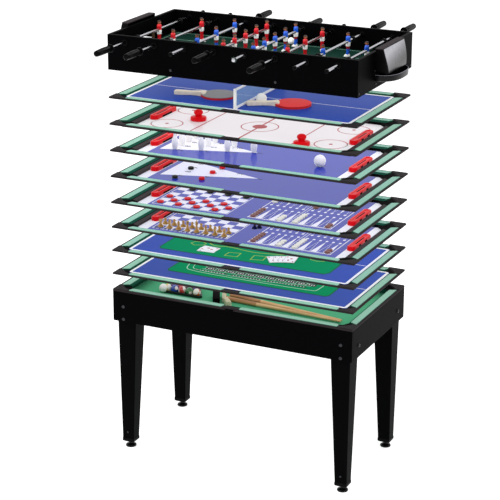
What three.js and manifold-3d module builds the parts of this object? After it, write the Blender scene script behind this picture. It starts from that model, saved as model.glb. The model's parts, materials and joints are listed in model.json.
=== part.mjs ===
// Multi game table: a pool table base on four tapered legs, eight railed game boards and a table
// football box, each lifted apart above the one it lies on. Millimetres, +Z up, the length along X,
// the front towards -Y, the origin on the floor under the middle of the table.

import * as THREE from "three";
import { mergeVertices } from "three/addons/utils/BufferGeometryUtils.js";
import Module from "manifold-3d";

const wasm = await Module();
wasm.setup();

// The table as a whole
const tableLength = 1220;
const tableWidth = 645;
const panelThickness = 15;
const seatGap = 0.3;
const overrun = 2;

// How high the base is, and how far each layer's top edge is lifted above the one below
const baseTop = 820;
const crapsLift = 80;
const cardsLift = 114;
const chessLift = 115;
const draughtsLift = 120;
const shuffleLift = 126;
const bowlingLift = 124;
const hockeyLift = 126;
const tennisLift = 125;
const footballLift = 290;

// The rails: a thin rim, six cushions inside it and plastic caps over the pockets
const rimWidth = 8;
const railThickness = 10;
const cushionWidth = 47;
const cushionCrown = 2;
const cushionNose = 3;
const pocketLength = 68;
const cushionSplay = 10;
const capArm = 84;
const capWidth = 28;
const capThroat = 60;
const capRise = 3;
const capSkirt = 9;
const midCapLength = 90;
const midCapReach = 52;
const midCapNeck = 66;

// The boards
const boardThickness = 4;
const flushDepth = 6;
const recessDepth = 22;
const recessWall = 4;
const recessLap = 4;
const boardLap = 12;

// The red goals at the ends of the recessed boards
const goalInset = 87;
const goalLength = 224;
const goalWidth = 42;
const goalHeight = 20;
const goalMouth = 96;
const goalMouthHeight = 9;
const goalMouthDepth = 14;
const ledgeInset = 56;
const ledgeWidth = 25;
const ledgeHeight = 8;

// The base
const apronHeight = 148;
const bedDepth = 50;
const bedThickness = 9;
const legTopSide = 95;
const legEndSide = 60;
const legOuterTaper = 8;
const legChamfer = 4;
const legShoulder = 5;
const legClearance = 28;
const bootHeight = 20;
const bootLip = 1.5;
const bootChamfer = 6;

// The levelling feet
const footRadius = 26;
const footPadHeight = 8;
const footDome = 6;
const footNeckRadius = 11;
const footStemRadius = 6;
const footStemLength = 34;
const footFit = 0.6;
const boreSpare = 3;

// The table football box
const boxHeight = 164;
const pitchDepth = 106;
const pitchThickness = 8;
const mouthWidth = 190;
const mouthHeight = 46;

// The rods and what turns on them
const rodCount = 8;
const rodEndRoom = 77;
const rodDepth = 30;
const rodRadius = 6.4;
const rodFit = 0.5;
const bearingRadius = 15;
const bearingReach = 6;
const longReach = 132.5;
const shortReach = 62.5;
const shortTail = 107.5;
const handleLength = 130;
const handleRadius = 16;
const handleNeck = 12;
const fluteDepth = 2.4;
const collarRadius = 18;
const collarLength = 8;
const endCapRadius = 9;
const endCapLength = 14;
const keeperRoom = 98.5;
const pairRoom = 110.5;
const threeRoom = 91.5;
const fiveRoom = 55.5;
const pairSpare = 54;
const crowdSpare = 24;
const bumperRadius = 13;
const bumperLength = 14;

// The men, from the rod's axis
const manSole = 72;
const manHead = 41;
const manShoulder = 14;
const manChest = 10;

// The goal boxes and the ball trays outside the end walls
const hoodRise = 14;
const hoodDrop = 98;
const hoodTopDepth = 33;
const hoodEndDepth = 54;
const hoodTopHalf = 131;
const hoodEndHalf = 112;
const hoodWall = 3;
const trayReach = 88;
const trayHalf = 128;
const trayRimDrop = 104;
const trayHeight = 28;
const trayWall = 3;

// The table tennis net and bats
const netInset = 2;
const netHeight = 94;
const netPost = 9;
const netTape = 8;
const netMesh = 1;
const batBladeLength = 175;
const batBladeWidth = 150;
const batThickness = 9;
const batHandleLength = 115;
const batHandleWidth = 25;
const batHandleHeight = 18;

// The small pieces on the boards
const pinRadius = 14;
const pinHeight = 95;
const pinRowPitch = 118;
const pinPitch = 72;
const bowlRadius = 30;
const pusherRadius = 38;
const pusherHeight = 50;
const puckRadius = 14;
const puckHeight = 12;
const squarePitch = 47.5;
const draughtRadius = 17;
const draughtHeight = 9;
const chessRadius = 15;
const chessHeight = 62;
const pointPitch = 31;
const stackWidth = 30;
const stackPiece = 27;

// The racked balls and the cues on the pool bed
const ballRadius = 20;
const ballPitch = 39;
const rackWall = 5;
const rackHeight = 26;
const rackRows = 5;
const cueLength = 610;
const cueButt = 11;
const cueTip = 5;

// Facets round a circle, for small, middling and large rounds
const fewSides = 8;
const someSides = 10;
const rodSides = 8;
const fluteCount = 6;
const ballSides = 6;
const pieceSides = 4;
const manySides = 20;

const plastic = { roughness: 0.45, metalness: 0 };
const finish = (color, roughness = 0.6, metalness = 0) =>
  new THREE.MeshStandardMaterial({ color, roughness, metalness });
const blackPanel = finish(0x14151a, 0.5);
const capPlastic = finish(0x33343a, plastic.roughness);
const cushionCloth = finish(0x7fc4a0, 0.9);
const bedCloth = finish(0x3f9a6c, 0.95);
const blueBoard = finish(0x2f55b0, 0.4);
const whiteBoard = finish(0xf1f1f8, 0.3);
const violetBoard = finish(0x6b72cc, 0.3);
const redTeam = finish(0xd02028, 0.4);
const blueTeam = finish(0x2456c8, 0.4);
const chrome = finish(0xd8d8dc, 0.15, 1);
const darkPitch = finish(0x12392b, 0.7);
const netWhite = finish(0xf4f4f6, 0.6);
const batRed = finish(0xee4a4a, 0.7);
const rubber = finish(0x101012, 0.8);
const rackBlack = finish(0x2a2a30, 0.3);
const cueWood = finish(0xd9a76a, 0.4);

const crapsTop = baseTop + crapsLift;
const cardsTop = crapsTop + cardsLift;
const chessTop = cardsTop + chessLift;
const draughtsTop = chessTop + draughtsLift;
const shuffleTop = draughtsTop + shuffleLift;
const bowlingTop = shuffleTop + bowlingLift;
const hockeyTop = bowlingTop + hockeyLift;
const tennisTop = hockeyTop + tennisLift;
const footballTop = tennisTop + footballLift;

// A closed geometry as a solid that can be joined and cut
function solid(geometry) {
  const plain = new THREE.BufferGeometry();
  const source = geometry.index ? geometry.toNonIndexed() : geometry;
  plain.setAttribute("position", source.getAttribute("position").clone());
  const merged = mergeVertices(plain, 1e-3);
  return new wasm.Manifold(
    new wasm.Mesh({
      numProp: 3,
      vertProperties: merged.attributes.position.array,
      triVerts: new Uint32Array(merged.index.array),
    }),
  );
}

const joined = (solids) => solids.reduce((whole, piece) => whole.add(piece));

// A solid back as a geometry
function geometryOf(body) {
  const mesh = body.getMesh();
  const points = new Float32Array(mesh.numVert * 3);
  for (let i = 0; i < mesh.numVert; i++) {
    points.set(mesh.vertProperties.subarray(i * mesh.numProp, i * mesh.numProp + 3), i * 3);
  }
  return new THREE.BufferGeometry()
    .setAttribute("position", new THREE.BufferAttribute(points, 3))
    .setIndex(new THREE.BufferAttribute(mesh.triVerts, 1));
}

const part = new THREE.Group();

// Adds a named mesh to the part
function place(name, body, material, group = part) {
  const mesh = new THREE.Mesh(body.isBufferGeometry ? body : geometryOf(body), material);
  mesh.name = name;
  group.add(mesh);
  return mesh;
}

// A box from its lowest to its highest corner
function block(low, high) {
  const size = high.map((value, i) => value - low[i]);
  const middle = high.map((value, i) => (value + low[i]) / 2);
  return solid(new THREE.BoxGeometry(...size).translate(...middle));
}

// A closed skin over rings of points, each ring counter-clockwise seen from the last one
function loft(rings) {
  const count = rings[0].length;
  const points = rings.flat(2);
  const faces = [];
  for (let r = 0; r + 1 < rings.length; r++) {
    for (let i = 0; i < count; i++) {
      const next = (i + 1) % count;
      const a = r * count + i;
      const b = r * count + next;
      faces.push(a, b, b + count, a, b + count, a + count);
    }
  }
  const last = (rings.length - 1) * count;
  for (let i = 1; i + 1 < count; i++) {
    faces.push(0, i + 1, i, last, last + i, last + i + 1);
  }
  const geometry = new THREE.BufferGeometry();
  geometry.setAttribute("position", new THREE.Float32BufferAttribute(points, 3));
  geometry.setIndex(faces);
  return solid(geometry);
}

// A flat outline raised along Z
function raise(outline, height, low) {
  const shape = new THREE.Shape(outline.map(([x, y]) => new THREE.Vector2(x, y)));
  const options = { depth: height, bevelEnabled: false, curveSegments: 1 };
  return solid(new THREE.ExtrudeGeometry(shape, options).translate(0, 0, low));
}

// A profile of [radius, height] points turned about Z
function turned(profile, sides) {
  const points = profile.map(([radius, height]) => new THREE.Vector2(radius, height));
  return solid(new THREE.LatheGeometry(points, sides).rotateX(Math.PI / 2));
}

// A round bar along Y between two places
function bar(radius, from, to, sides, x = 0, z = 0) {
  const geometry = new THREE.CylinderGeometry(radius, radius, to - from, sides);
  return solid(geometry.translate(x, (from + to) / 2, z));
}

// The radius of a faceted bore that a round of this radius clears by the fit
const boreRadius = (radius, fit, sides) => (radius + fit) / Math.cos(Math.PI / sides);

// The rail ring of one layer, with its top face at z = 0

const nose = rimWidth + cushionWidth;
const halfLength = tableLength / 2;
const halfWidth = tableWidth / 2;

// A box ring between an outer inset and an inner inset
function ring(outerInset, innerInset, low, high) {
  const outer = block(
    [outerInset - halfLength, outerInset - halfWidth, low],
    [halfLength - outerInset, halfWidth - outerInset, high],
  );
  const inner = block(
    [innerInset - halfLength, innerInset - halfWidth, low - overrun],
    [halfLength - innerInset, halfWidth - innerInset, high + overrun],
  );
  return outer.subtract(inner);
}

// A cushion's section as [inset, height], from its root in the rim round to its nose
const cushionSection = [
  [rimWidth / 2, -railThickness],
  [nose - cushionWidth / 4, -railThickness],
  [nose, -railThickness / 2],
  [nose - cushionWidth / 5, cushionCrown],
  [rimWidth / 2, -cushionNose / 3],
];

// One cushion along a side: toSide puts a distance along the side and an inset on the table
function cushion(from, to, fromSplay, toSplay, toSide) {
  const end = (at, splay) =>
    cushionSection.map(([inset, height]) => {
      const slide = (splay * (inset - rimWidth)) / cushionWidth;
      return [...toSide(at + slide, inset), height];
    });
  return loft([end(from, fromSplay), end(to, toSplay)]);
}

function cushions() {
  const front = (along, inset) => [along, inset - halfWidth];
  const back = (along, inset) => [-along, halfWidth - inset];
  const left = (along, inset) => [inset - halfLength, -along];
  const right = (along, inset) => [halfLength - inset, along];
  const corner = halfLength - pocketLength;
  const side = midCapNeck / 2;
  const end = halfWidth - pocketLength;
  const splay = cushionSplay;
  return [front, back]
    .flatMap((toSide) => [
      cushion(-corner, -side, splay, -splay, toSide),
      cushion(side, corner, splay, -splay, toSide),
    ])
    .concat([left, right].map((toSide) => cushion(-end, end, splay, -splay, toSide)));
}

// The corner cap: an L over the rim with its inner corner cut across the pocket
function cornerCap(signX, signY) {
  const outline = [
    [0, 0],
    [capArm, 0],
    [capArm, capWidth],
    [capThroat, capWidth],
    [capWidth, capThroat],
    [capWidth, capArm],
    [0, capArm],
  ].map(([u, v]) => [signX * (halfLength - u), signY * (halfWidth - v)]);
  const points = signX * signY > 0 ? outline : outline.reverse();
  return raise(points, capSkirt + capRise, -capSkirt);
}

// The side pocket cap in the middle of each long rail
function midCap(signY) {
  const half = midCapLength / 2;
  const neck = midCapNeck / 2;
  const outline = [
    [-half, 0],
    [half, 0],
    [half, capWidth],
    [neck - cushionSplay, midCapReach],
    [cushionSplay - neck, midCapReach],
    [-half, capWidth],
  ].map(([u, v]) => [u, signY * (halfWidth - v)]);
  const points = signY < 0 ? outline : outline.reverse();
  return raise(points, capSkirt + capRise, -capSkirt);
}

function rail() {
  const corners = [-1, 1].flatMap((x) => [-1, 1].map((y) => cornerCap(x, y)));
  const rim = ring(0, rimWidth, -railThickness, 0);
  return joined([rim, ...cushions(), ...corners, midCap(-1), midCap(1)]);
}

const railGeometry = geometryOf(rail());

function addRail(name, top, material = cushionCloth) {
  place(name, railGeometry, material).position.z = top;
}

// The boards, with the rail's top face at z = 0

const underRail = -railThickness - seatGap;

// A board that stands nearly level with its rail: a raised field on a plate under the cushions
function flushBoard() {
  const plate = block(
    [boardLap - halfLength, boardLap - halfWidth, underRail - boardThickness],
    [halfLength - boardLap, halfWidth - boardLap, underRail],
  );
  const edge = nose + seatGap;
  const cut = pocketLength + cushionSplay - edge;
  const x = halfLength - edge;
  const y = halfWidth - edge;
  const field = [
    [cut - x, -y],
    [x - cut, -y],
    [x, cut - y],
    [x, y - cut],
    [x - cut, y],
    [cut - x, y],
    [-x, y - cut],
    [-x, cut - y],
  ];
  const low = underRail - boardThickness;
  return plate.add(raise(field, -flushDepth - low, low));
}

const floor = -recessDepth;

// A red goal: a round-ended bar with a blind mouth, in front of an end wall
function goal(signX) {
  const wall = halfLength - goalInset;
  const radius = goalWidth / 2;
  const half = goalLength / 2 - radius;
  const steps = fewSides / 2;
  const arc = (middle, start) =>
    Array.from({ length: steps + 1 }, (_, i) => {
      const turn = start + (Math.PI * i) / steps;
      return [wall - radius + radius * Math.cos(turn), middle + radius * Math.sin(turn)];
    });
  const outline = [...arc(half, 0), ...arc(-half, Math.PI)].map(([x, y]) => [signX * x, y]);
  const points = signX > 0 ? outline : outline.reverse();
  const low = [wall - goalWidth - overrun, -goalMouth / 2, floor + overrun];
  const high = [wall - goalWidth + goalMouthDepth, goalMouth / 2, low[2] + goalMouthHeight];
  const mouth =
    signX > 0 ? block(low, high) : block([-high[0], low[1], low[2]], [-low[0], ...high.slice(1)]);
  return raise(points, goalHeight + overrun, floor - overrun).subtract(mouth);
}

// The low ledge between a goal and the end wall
function ledge(signX) {
  const far = signX * (halfLength - ledgeInset);
  const near = far - signX * ledgeWidth;
  const half = halfWidth - nose - ledgeWidth;
  return block(
    [Math.min(near, far), -half, floor - overrun],
    [Math.max(near, far), half, floor + ledgeHeight],
  );
}

// Outlines of round pieces from the foot up, as shares of their radius and height
const ballShares = [
  [0, 0],
  [1, 0.6],
  [1, 1.4],
  [0, 2],
];
const discShares = [
  [0, 0],
  [1, 0],
  [1, 1],
  [0, 1],
];
const pinShares = [
  [0, 0],
  [0.7, 0],
  [1, 0.3],
  [0.4, 0.72],
  [0.5, 0.9],
  [0, 1],
];
const pusherShares = [
  [0, 0],
  [1, 0],
  [1, 0.35],
  [0.4, 0.5],
  [0.35, 0.9],
  [0, 1],
];
const chessShares = [
  [0, 0],
  [1, 0],
  [0.35, 0.45],
  [0.55, 0.8],
  [0, 1],
];

// A round piece of such an outline, with a corner of its facets towards +X
function turnedPiece(shares, radius, height, sides) {
  const profile = shares.map(([out, up]) => [out * radius, up * height]);
  return turned(profile, sides).rotate([0, 0, 90]);
}

// Copies of a piece at places on a recessed floor, let in a little so that they are one with it
const standing = (piece, places) =>
  places.map(([x, y]) => piece.translate([x, y, floor - seatGap]));

// Places given as shares of the half length and half width
const placesOf = (shares) => shares.map(([x, y]) => [x * halfLength, y * halfWidth]);

// The ten pins, one at the tip of the triangle and four at its far side, and the ball
const pinTipShare = -0.049;
const bowlShares = [[0.552, -0.248]];

function bowlingPieces() {
  const pin = turnedPiece(pinShares, pinRadius, pinHeight, ballSides);
  const places = [1, 2, 3, 4].flatMap((count) =>
    Array.from({ length: count }, (_, i) => [
      pinTipShare * halfLength - (count - 1) * pinRowPitch,
      (i - (count - 1) / 2) * pinPitch,
    ]),
  );
  const ball = turnedPiece(ballShares, bowlRadius, bowlRadius, fewSides);
  return [...standing(pin, places), ...standing(ball, placesOf(bowlShares))];
}

// The shuffleboard's pucks and the hockey pushers and puck
const puckShares = [
  [-0.59, 0.01],
  [-0.59, -0.49],
  [-0.388, -0.39],
  [-0.388, -0.042],
  [-0.38, 0.25],
];
const pusherPlaceShares = [
  [-0.503, -0.057],
  [0.493, -0.638],
];

function shufflePieces() {
  const puck = turnedPiece(discShares, puckRadius, puckHeight, ballSides);
  return standing(puck, placesOf(puckShares));
}

function hockeyPieces() {
  const pusher = turnedPiece(pusherShares, pusherRadius, pusherHeight, fewSides);
  return standing(pusher, placesOf(pusherPlaceShares));
}

// The middle of the squared board and of the backgammon board on one recessed floor
const squaresShare = -0.439;
const pointsShare = 0.385;
const squares = 8;

const squareAt = (column, row) => [
  squaresShare * halfLength + (column - (squares - 1) / 2) * squarePitch,
  (row - (squares - 1) / 2) * squarePitch,
];

// Stacks of backgammon pieces as [point from the middle bar, end of the board, pieces]
const stacks = [
  [-6, -1, 5],
  [-2, -1, 3],
  [1, -1, 5],
  [6, -1, 2],
  [-6, 1, 5],
  [-2, 1, 3],
  [1, 1, 5],
  [6, 1, 2],
];

function backgammonPieces() {
  return stacks.map(([point, end, count]) => {
    const x = pointsShare * halfLength + (point - Math.sign(point) / 2) * pointPitch;
    const reach = (squares / 2) * squarePitch;
    const near = reach - count * stackPiece;
    const low = [x - stackWidth / 2, end < 0 ? -reach : near, floor - seatGap];
    const high = [x + stackWidth / 2, end < 0 ? -near : reach, floor + draughtHeight];
    return block(low, high);
  });
}

function draughtsPieces() {
  const disc = turnedPiece(discShares, draughtRadius, draughtHeight, ballSides);
  const places = [0, 1, 2, 5, 6, 7].flatMap((row) =>
    Array.from({ length: squares / 2 }, (_, i) => squareAt(2 * i + (row % 2), row)),
  );
  return [...standing(disc, places), ...backgammonPieces()];
}

function chessPieces() {
  const man = turnedPiece(chessShares, chessRadius, chessHeight, pieceSides);
  const places = [0, 1, 6, 7].flatMap((row) =>
    Array.from({ length: squares }, (_, column) => squareAt(column, row)),
  );
  return [...standing(man, places), ...backgammonPieces()];
}

// A board sunk below its rail: walls under the cushion noses, a floor, a goal and a ledge at each
// end and the pieces that stand on it
function recessedBoard(pieces) {
  const outer = nose - recessLap;
  const walls = ring(outer, outer + recessWall, floor - overrun / 2, underRail);
  const bottom = block(
    [outer - halfLength, outer - halfWidth, floor - boardThickness],
    [halfLength - outer, halfWidth - outer, floor],
  );
  const ends = [-1, 1].flatMap((sign) => [goal(sign), ledge(sign)]);
  return joined([walls, bottom, ...ends, ...pieces]);
}

const flushGeometry = geometryOf(flushBoard());

const layers = [
  ["craps", crapsTop, flushGeometry, blueBoard],
  ["cards", cardsTop, flushGeometry, blueBoard],
  ["chess", chessTop, geometryOf(recessedBoard(chessPieces())), violetBoard],
  ["draughts", draughtsTop, geometryOf(recessedBoard(draughtsPieces())), violetBoard],
  ["shuffle", shuffleTop, geometryOf(recessedBoard(shufflePieces())), violetBoard],
  ["bowling", bowlingTop, geometryOf(recessedBoard(bowlingPieces())), violetBoard],
  ["hockey", hockeyTop, geometryOf(recessedBoard(hockeyPieces())), whiteBoard],
  ["tennis", tennisTop, flushGeometry, blueBoard],
];

for (const [name, top, geometry, material] of layers) {
  addRail(`${name}_rail`, top);
  place(`${name}_board`, geometry, material).position.z = top;
}

// The base: four aprons, the rail, the pool bed, four legs and four levelling feet

const apronTop = baseTop - railThickness - seatGap;
const apronLow = apronTop - apronHeight;
const bedTop = baseTop - bedDepth;
const bedLow = bedTop - bedThickness;
const legInset = panelThickness + seatGap;

function addAprons() {
  const endHalf = halfWidth - panelThickness - seatGap;
  for (const [name, sign] of [["apron_front", -1], ["apron_back", 1]]) {
    const near = sign < 0 ? -halfWidth : halfWidth - panelThickness;
    const low = [-halfLength, near, apronLow];
    place(name, block(low, [halfLength, near + panelThickness, apronTop]), blackPanel);
  }
  for (const [name, sign] of [["apron_left", -1], ["apron_right", 1]]) {
    const near = sign < 0 ? -halfLength : halfLength - panelThickness;
    const low = [near, -endHalf, apronLow];
    place(name, block(low, [near + panelThickness, endHalf, apronTop]), blackPanel);
  }
}

function addBed() {
  const inset = panelThickness + seatGap;
  const low = [inset - halfLength, inset - halfWidth, bedLow];
  place("pool_bed", block(low, [halfLength - inset, halfWidth - inset, bedTop]), bedCloth);
}

// A square section with cut corners, from its two insets, at a height
function legRing(near, far, height) {
  const c = legChamfer;
  return [
    [near + c, near, height],
    [far - c, near, height],
    [far, near + c, height],
    [far, far - c, height],
    [far - c, far, height],
    [near + c, far, height],
    [near, far - c, height],
    [near, near + c, height],
  ];
}

const legEndNear = legInset + legOuterTaper;
const legMiddle = legEndNear + legEndSide / 2;

function leg() {
  const near = legInset;
  const far = legInset + legTopSide;
  const low = legEndNear;
  const high = legEndNear + legEndSide;
  const bootTop = legClearance + bootHeight;
  const body = loft([
    legRing(low + bootChamfer, high - bootChamfer, legClearance),
    legRing(low - bootLip, high + bootLip, legClearance + bootChamfer),
    legRing(low - bootLip, high + bootLip, bootTop),
    legRing(low, high, bootTop + bootLip),
    legRing(near, far, apronLow - legShoulder),
    legRing(near, far, bedLow - seatGap),
  ]);
  const radius = boreRadius(footStemRadius, footFit, someSides);
  const boreLow = legClearance - overrun;
  const boreDepth = footStemLength + boreSpare + overrun;
  const bore = new THREE.CylinderGeometry(radius, radius, boreDepth, someSides)
    .rotateX(Math.PI / 2)
    .translate(legMiddle, legMiddle, boreLow + boreDepth / 2);
  return body.subtract(solid(bore));
}

function foot() {
  const shoulder = footPadHeight + footDome;
  return turned(
    [
      [0, 0],
      [footRadius, 0],
      [footRadius, footPadHeight - footDome / 3],
      [footRadius - footDome, footPadHeight + footDome / 2],
      [footNeckRadius + footDome / 2, shoulder],
      [footNeckRadius - footDome / 3, legClearance - seatGap],
      [footStemRadius, legClearance - seatGap],
      [footStemRadius, legClearance + footStemLength - footDome],
      [0, legClearance + footStemLength - footDome],
    ],
    someSides,
  );
}

function addLegs() {
  const legGeometry = geometryOf(leg());
  const footGeometry = geometryOf(foot());
  const quarters = [
    ["front_left", -1, -1],
    ["front_right", 1, -1],
    ["back_right", 1, 1],
    ["back_left", -1, 1],
  ];
  for (const [name, signX, signY] of quarters) {
    const corner = new THREE.Group();
    corner.position.set(signX * halfLength, signY * halfWidth, 0);
    corner.scale.set(-signX, -signY, 1);
    part.add(corner);
    place(`leg_${name}`, legGeometry, blackPanel, corner);
    place(`foot_${name}`, footGeometry, rubber, corner).position.set(legMiddle, legMiddle, 0);
  }
}

addAprons();
addRail("base_rail", baseTop);
addBed();
addLegs();

// The table football box

const boxLow = footballTop - boxHeight;
const pitchTop = footballTop - pitchDepth;
const rodHeight = footballTop - rodDepth;
const innerLength = halfLength - panelThickness;
const innerWidth = halfWidth - panelThickness;
const lastRod = innerLength - rodEndRoom;
const rodPlaces = Array.from(
  { length: rodCount },
  (_, i) => lastRod * ((2 * i) / (rodCount - 1) - 1),
);

// A long wall with a bearing for each rod
function longWall(sign) {
  const near = sign < 0 ? -halfWidth : innerWidth;
  const wall = block([-halfLength, near, boxLow], [halfLength, near + panelThickness, footballTop]);
  const outerFace = sign * halfWidth;
  const reach = outerFace + sign * bearingReach;
  const root = outerFace - sign * (panelThickness / 2);
  const span = [Math.min(root, reach), Math.max(root, reach)];
  const bearings = rodPlaces.map((x) => bar(bearingRadius, ...span, someSides, x, rodHeight));
  const radius = boreRadius(rodRadius, rodFit, rodSides);
  const far = halfWidth + bearingReach + overrun;
  const cut = sign < 0 ? [-far, overrun - innerWidth] : [innerWidth - overrun, far];
  const bores = rodPlaces.map((x) => bar(radius, ...cut, rodSides, x, rodHeight));
  return joined([wall, ...bearings]).subtract(joined(bores));
}

// An end wall with the goal mouth that the ball leaves by
function endWall(sign) {
  const near = sign < 0 ? -halfLength : innerLength;
  const half = innerWidth - seatGap;
  const wall = block([near, -half, boxLow], [near + panelThickness, half, footballTop]);
  const mouthLow = pitchTop - pitchThickness;
  const low = [near - overrun, -mouthWidth / 2, mouthLow];
  const high = [near + panelThickness + overrun, mouthWidth / 2, pitchTop + mouthHeight];
  return wall.subtract(block(low, high));
}

// The ball box's section at a height: how far it stands out, and half its width
function hoodSection(share) {
  const bulge = Math.sin((share * Math.PI) / 2);
  return {
    depth: hoodTopDepth + (hoodEndDepth - hoodTopDepth) * bulge,
    half: hoodTopHalf + (hoodEndHalf - hoodTopHalf) * share * share,
  };
}

// The moulded goal box outside an end wall: a curved shell, open to the wall and at its foot
function hood(sign) {
  const steps = 6;
  const face = halfLength + seatGap;
  const skin = (inset, top, low) =>
    loft(
      Array.from({ length: steps + 1 }, (_, i) => {
        const share = i / steps;
        const { depth, half } = hoodSection(share);
        const z = low + (top - low) * (1 - share);
        const x0 = inset ? face - overrun : face;
        const x1 = face + depth - inset;
        const y = half - inset;
        return [
          [x0, -y, z],
          [x0, y, z],
          [x1, y, z],
          [x1, -y, z],
        ];
      }),
    );
  const top = footballTop + hoodRise;
  const low = footballTop - hoodDrop;
  const shell = skin(0, top, low).subtract(skin(hoodWall, top - hoodWall, low - overrun));
  const body = geometryOf(shell);
  return sign > 0 ? body : body.rotateZ(Math.PI);
}

// How square a half oval is: 1 is an ellipse, and 0 a box
const ovalShare = 0.8;

// A half oval in plan, from the wall face outwards
function trayOutline(reach, half, face) {
  const steps = manySides / 2;
  return Array.from({ length: steps + 1 }, (_, i) => {
    const turn = (Math.PI * i) / steps - Math.PI / 2;
    const round = (value) => Math.sign(value) * Math.abs(value) ** ovalShare;
    return [face + reach * round(Math.cos(turn)), half * round(Math.sin(turn))];
  });
}

// The open cup that catches the ball under the goal box
function tray(sign) {
  const face = halfLength + seatGap;
  const low = footballTop - trayRimDrop - trayHeight;
  const outside = raise(trayOutline(trayReach, trayHalf, face), trayHeight, low);
  const inside = raise(
    trayOutline(trayReach - trayWall, trayHalf - trayWall, face + trayWall),
    trayHeight,
    low + trayWall,
  );
  const body = geometryOf(outside.subtract(inside));
  return sign > 0 ? body : body.rotateZ(Math.PI);
}

function addBox() {
  place("box_wall_front", longWall(-1), blackPanel);
  place("box_wall_back", longWall(1), blackPanel);
  place("box_wall_left", endWall(-1), blackPanel);
  place("box_wall_right", endWall(1), blackPanel);
  const inset = panelThickness + seatGap;
  const low = [inset - halfLength, inset - halfWidth, pitchTop - pitchThickness];
  place("pitch", block(low, [halfLength - inset, halfWidth - inset, pitchTop]), darkPitch);
  place("goal_box_left", hood(-1), blackPanel);
  place("goal_box_right", hood(1), blackPanel);
  place("ball_tray_left", tray(-1), blackPanel);
  place("ball_tray_right", tray(1), blackPanel);
}

// One man's outline as [height, half width along the rod, half depth, forward shift], where the
// heights below the rod are shares of the sole's depth and those above are shares of the head's
const manShares = [
  [-1, 0.68, 1.5, 0.55],
  [-0.84, 0.65, 0.95, 0.2],
  [-0.16, 0.8, 1.05, 0],
  [0.42, 1, 1.1, 0],
  [0.6, 0.45, 0.7, 0],
  [0.8, 0.6, 0.9, 0.1],
  [1, 0.3, 0.5, 0.1],
];

// The share of a man's half depth at which his sides turn towards his front and back
const manCornerShare = 0.6;

// A man who faces along X, hung on the rod at a place along it
function man(at, facing) {
  const rings = manShares.map(([height, across, deep, shift]) => {
    const z = height < 0 ? height * manSole : height * manHead;
    const y = across * manShoulder;
    const x = deep * manChest;
    const dx = facing * shift * manChest;
    const waist = manCornerShare * x;
    return [
      [dx + x, at, z],
      [dx + waist, at + y, z],
      [dx - waist, at + y, z],
      [dx - x, at, z],
      [dx - waist, at - y, z],
      [dx + waist, at - y, z],
    ];
  });
  return loft(rings);
}

// A grip's outline: how far along it, how much it swells and how deep its flutes are
const gripShares = [
  [0.02, 0, 0],
  [0.14, 0, 0],
  [0.2, 0.8, 1],
  [0.6, 1, 1],
  [0.93, 0.7, 1],
  [1, 0, 0],
];

// A fluted grip along Y from its inner end, towards the sign
function grip(inner, sign) {
  const flutes = fluteCount * 2;
  const section = (along, radius, depth) => {
    const y = inner + sign * along * handleLength;
    return Array.from({ length: flutes }, (_, i) => {
      const turn = (2 * Math.PI * i * -sign) / flutes;
      const r = radius - (i % 2) * depth;
      return [r * Math.cos(turn), y, r * Math.sin(turn)];
    });
  };
  return loft(
    gripShares.map(([along, swell, flute]) =>
      section(along, handleNeck + (handleRadius - handleNeck) * swell, fluteDepth * flute),
    ),
  );
}

// How many men each kind of rod has, the room between its stop collars and the walls, the spare
// from a collar to the outermost man, and how far out of the walls the handle and the plain end are
const rodKinds = {
  keeper: { count: 1, room: keeperRoom, spare: 0, reach: longReach, tail: longReach },
  pair: { count: 2, room: pairRoom, spare: pairSpare, reach: longReach, tail: longReach },
  three: { count: 3, room: threeRoom, spare: crowdSpare, reach: longReach, tail: longReach },
  five: { count: 5, room: fiveRoom, spare: crowdSpare, reach: shortReach, tail: shortTail },
};

// The rods from the left: the kind, the side of the handle, and the way the men face
const rods = [
  ["keeper", -1, 1],
  ["pair", -1, 1],
  ["three", 1, -1],
  ["five", -1, 1],
  ["five", 1, -1],
  ["three", -1, 1],
  ["pair", 1, -1],
  ["keeper", 1, -1],
];

// A rod with its men, its handle, its end cap and the collar pinned at the handle's side
function rod(kind, side, facing) {
  const { count, room, spare } = rodKinds[kind];
  const reach = halfWidth + rodKinds[kind].reach;
  const tail = halfWidth + rodKinds[kind].tail;
  const stop = innerWidth - room;
  const men = Array.from({ length: count }, (_, i) =>
    count > 1 ? (stop - spare) * ((2 * i) / (count - 1) - 1) : 0,
  );
  const grippedEnd = side * (reach + handleLength / 2);
  const plainEnd = -side * (tail - endCapLength / 2);
  const span = [Math.min(grippedEnd, plainEnd), Math.max(grippedEnd, plainEnd)];
  const fat = (radius, middle, length, sides) =>
    bar(radius, middle - length / 2, middle + length / 2, sides);
  return joined([
    bar(rodRadius, ...span, rodSides),
    ...men.map((at) => man(at, facing)),
    grip(side * reach, side),
    fat(collarRadius, side * (reach + collarLength / 2), collarLength, fewSides),
    fat(endCapRadius, -side * (tail - endCapLength / 2), endCapLength, fewSides),
    fat(bumperRadius, side * stop, bumperLength, fewSides),
  ]);
}

// The loose bumper ring at the plain end's side, which slides with the rod and doesn't turn
function bumper(kind, side) {
  const middle = -side * (innerWidth - rodKinds[kind].room);
  const low = middle - bumperLength / 2;
  const high = middle + bumperLength / 2;
  const radius = boreRadius(rodRadius, rodFit, rodSides);
  const bore = bar(radius, low - overrun, high + overrun, rodSides);
  return bar(bumperRadius, low, high, fewSides).subtract(bore);
}

function addRods() {
  rods.forEach(([kind, side, facing], i) => {
    const line = new THREE.Group();
    line.position.set(rodPlaces[i], 0, rodHeight);
    part.add(line);
    place(`rod_${i + 1}`, rod(kind, side, facing), facing > 0 ? redTeam : blueTeam, line);
    place(`bumper_${i + 1}`, bumper(kind, side), rubber, line);
  });
}

addBox();
addRods();

// What lies on the table tennis board

const tennisField = tennisTop - flushDepth + seatGap;

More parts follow.
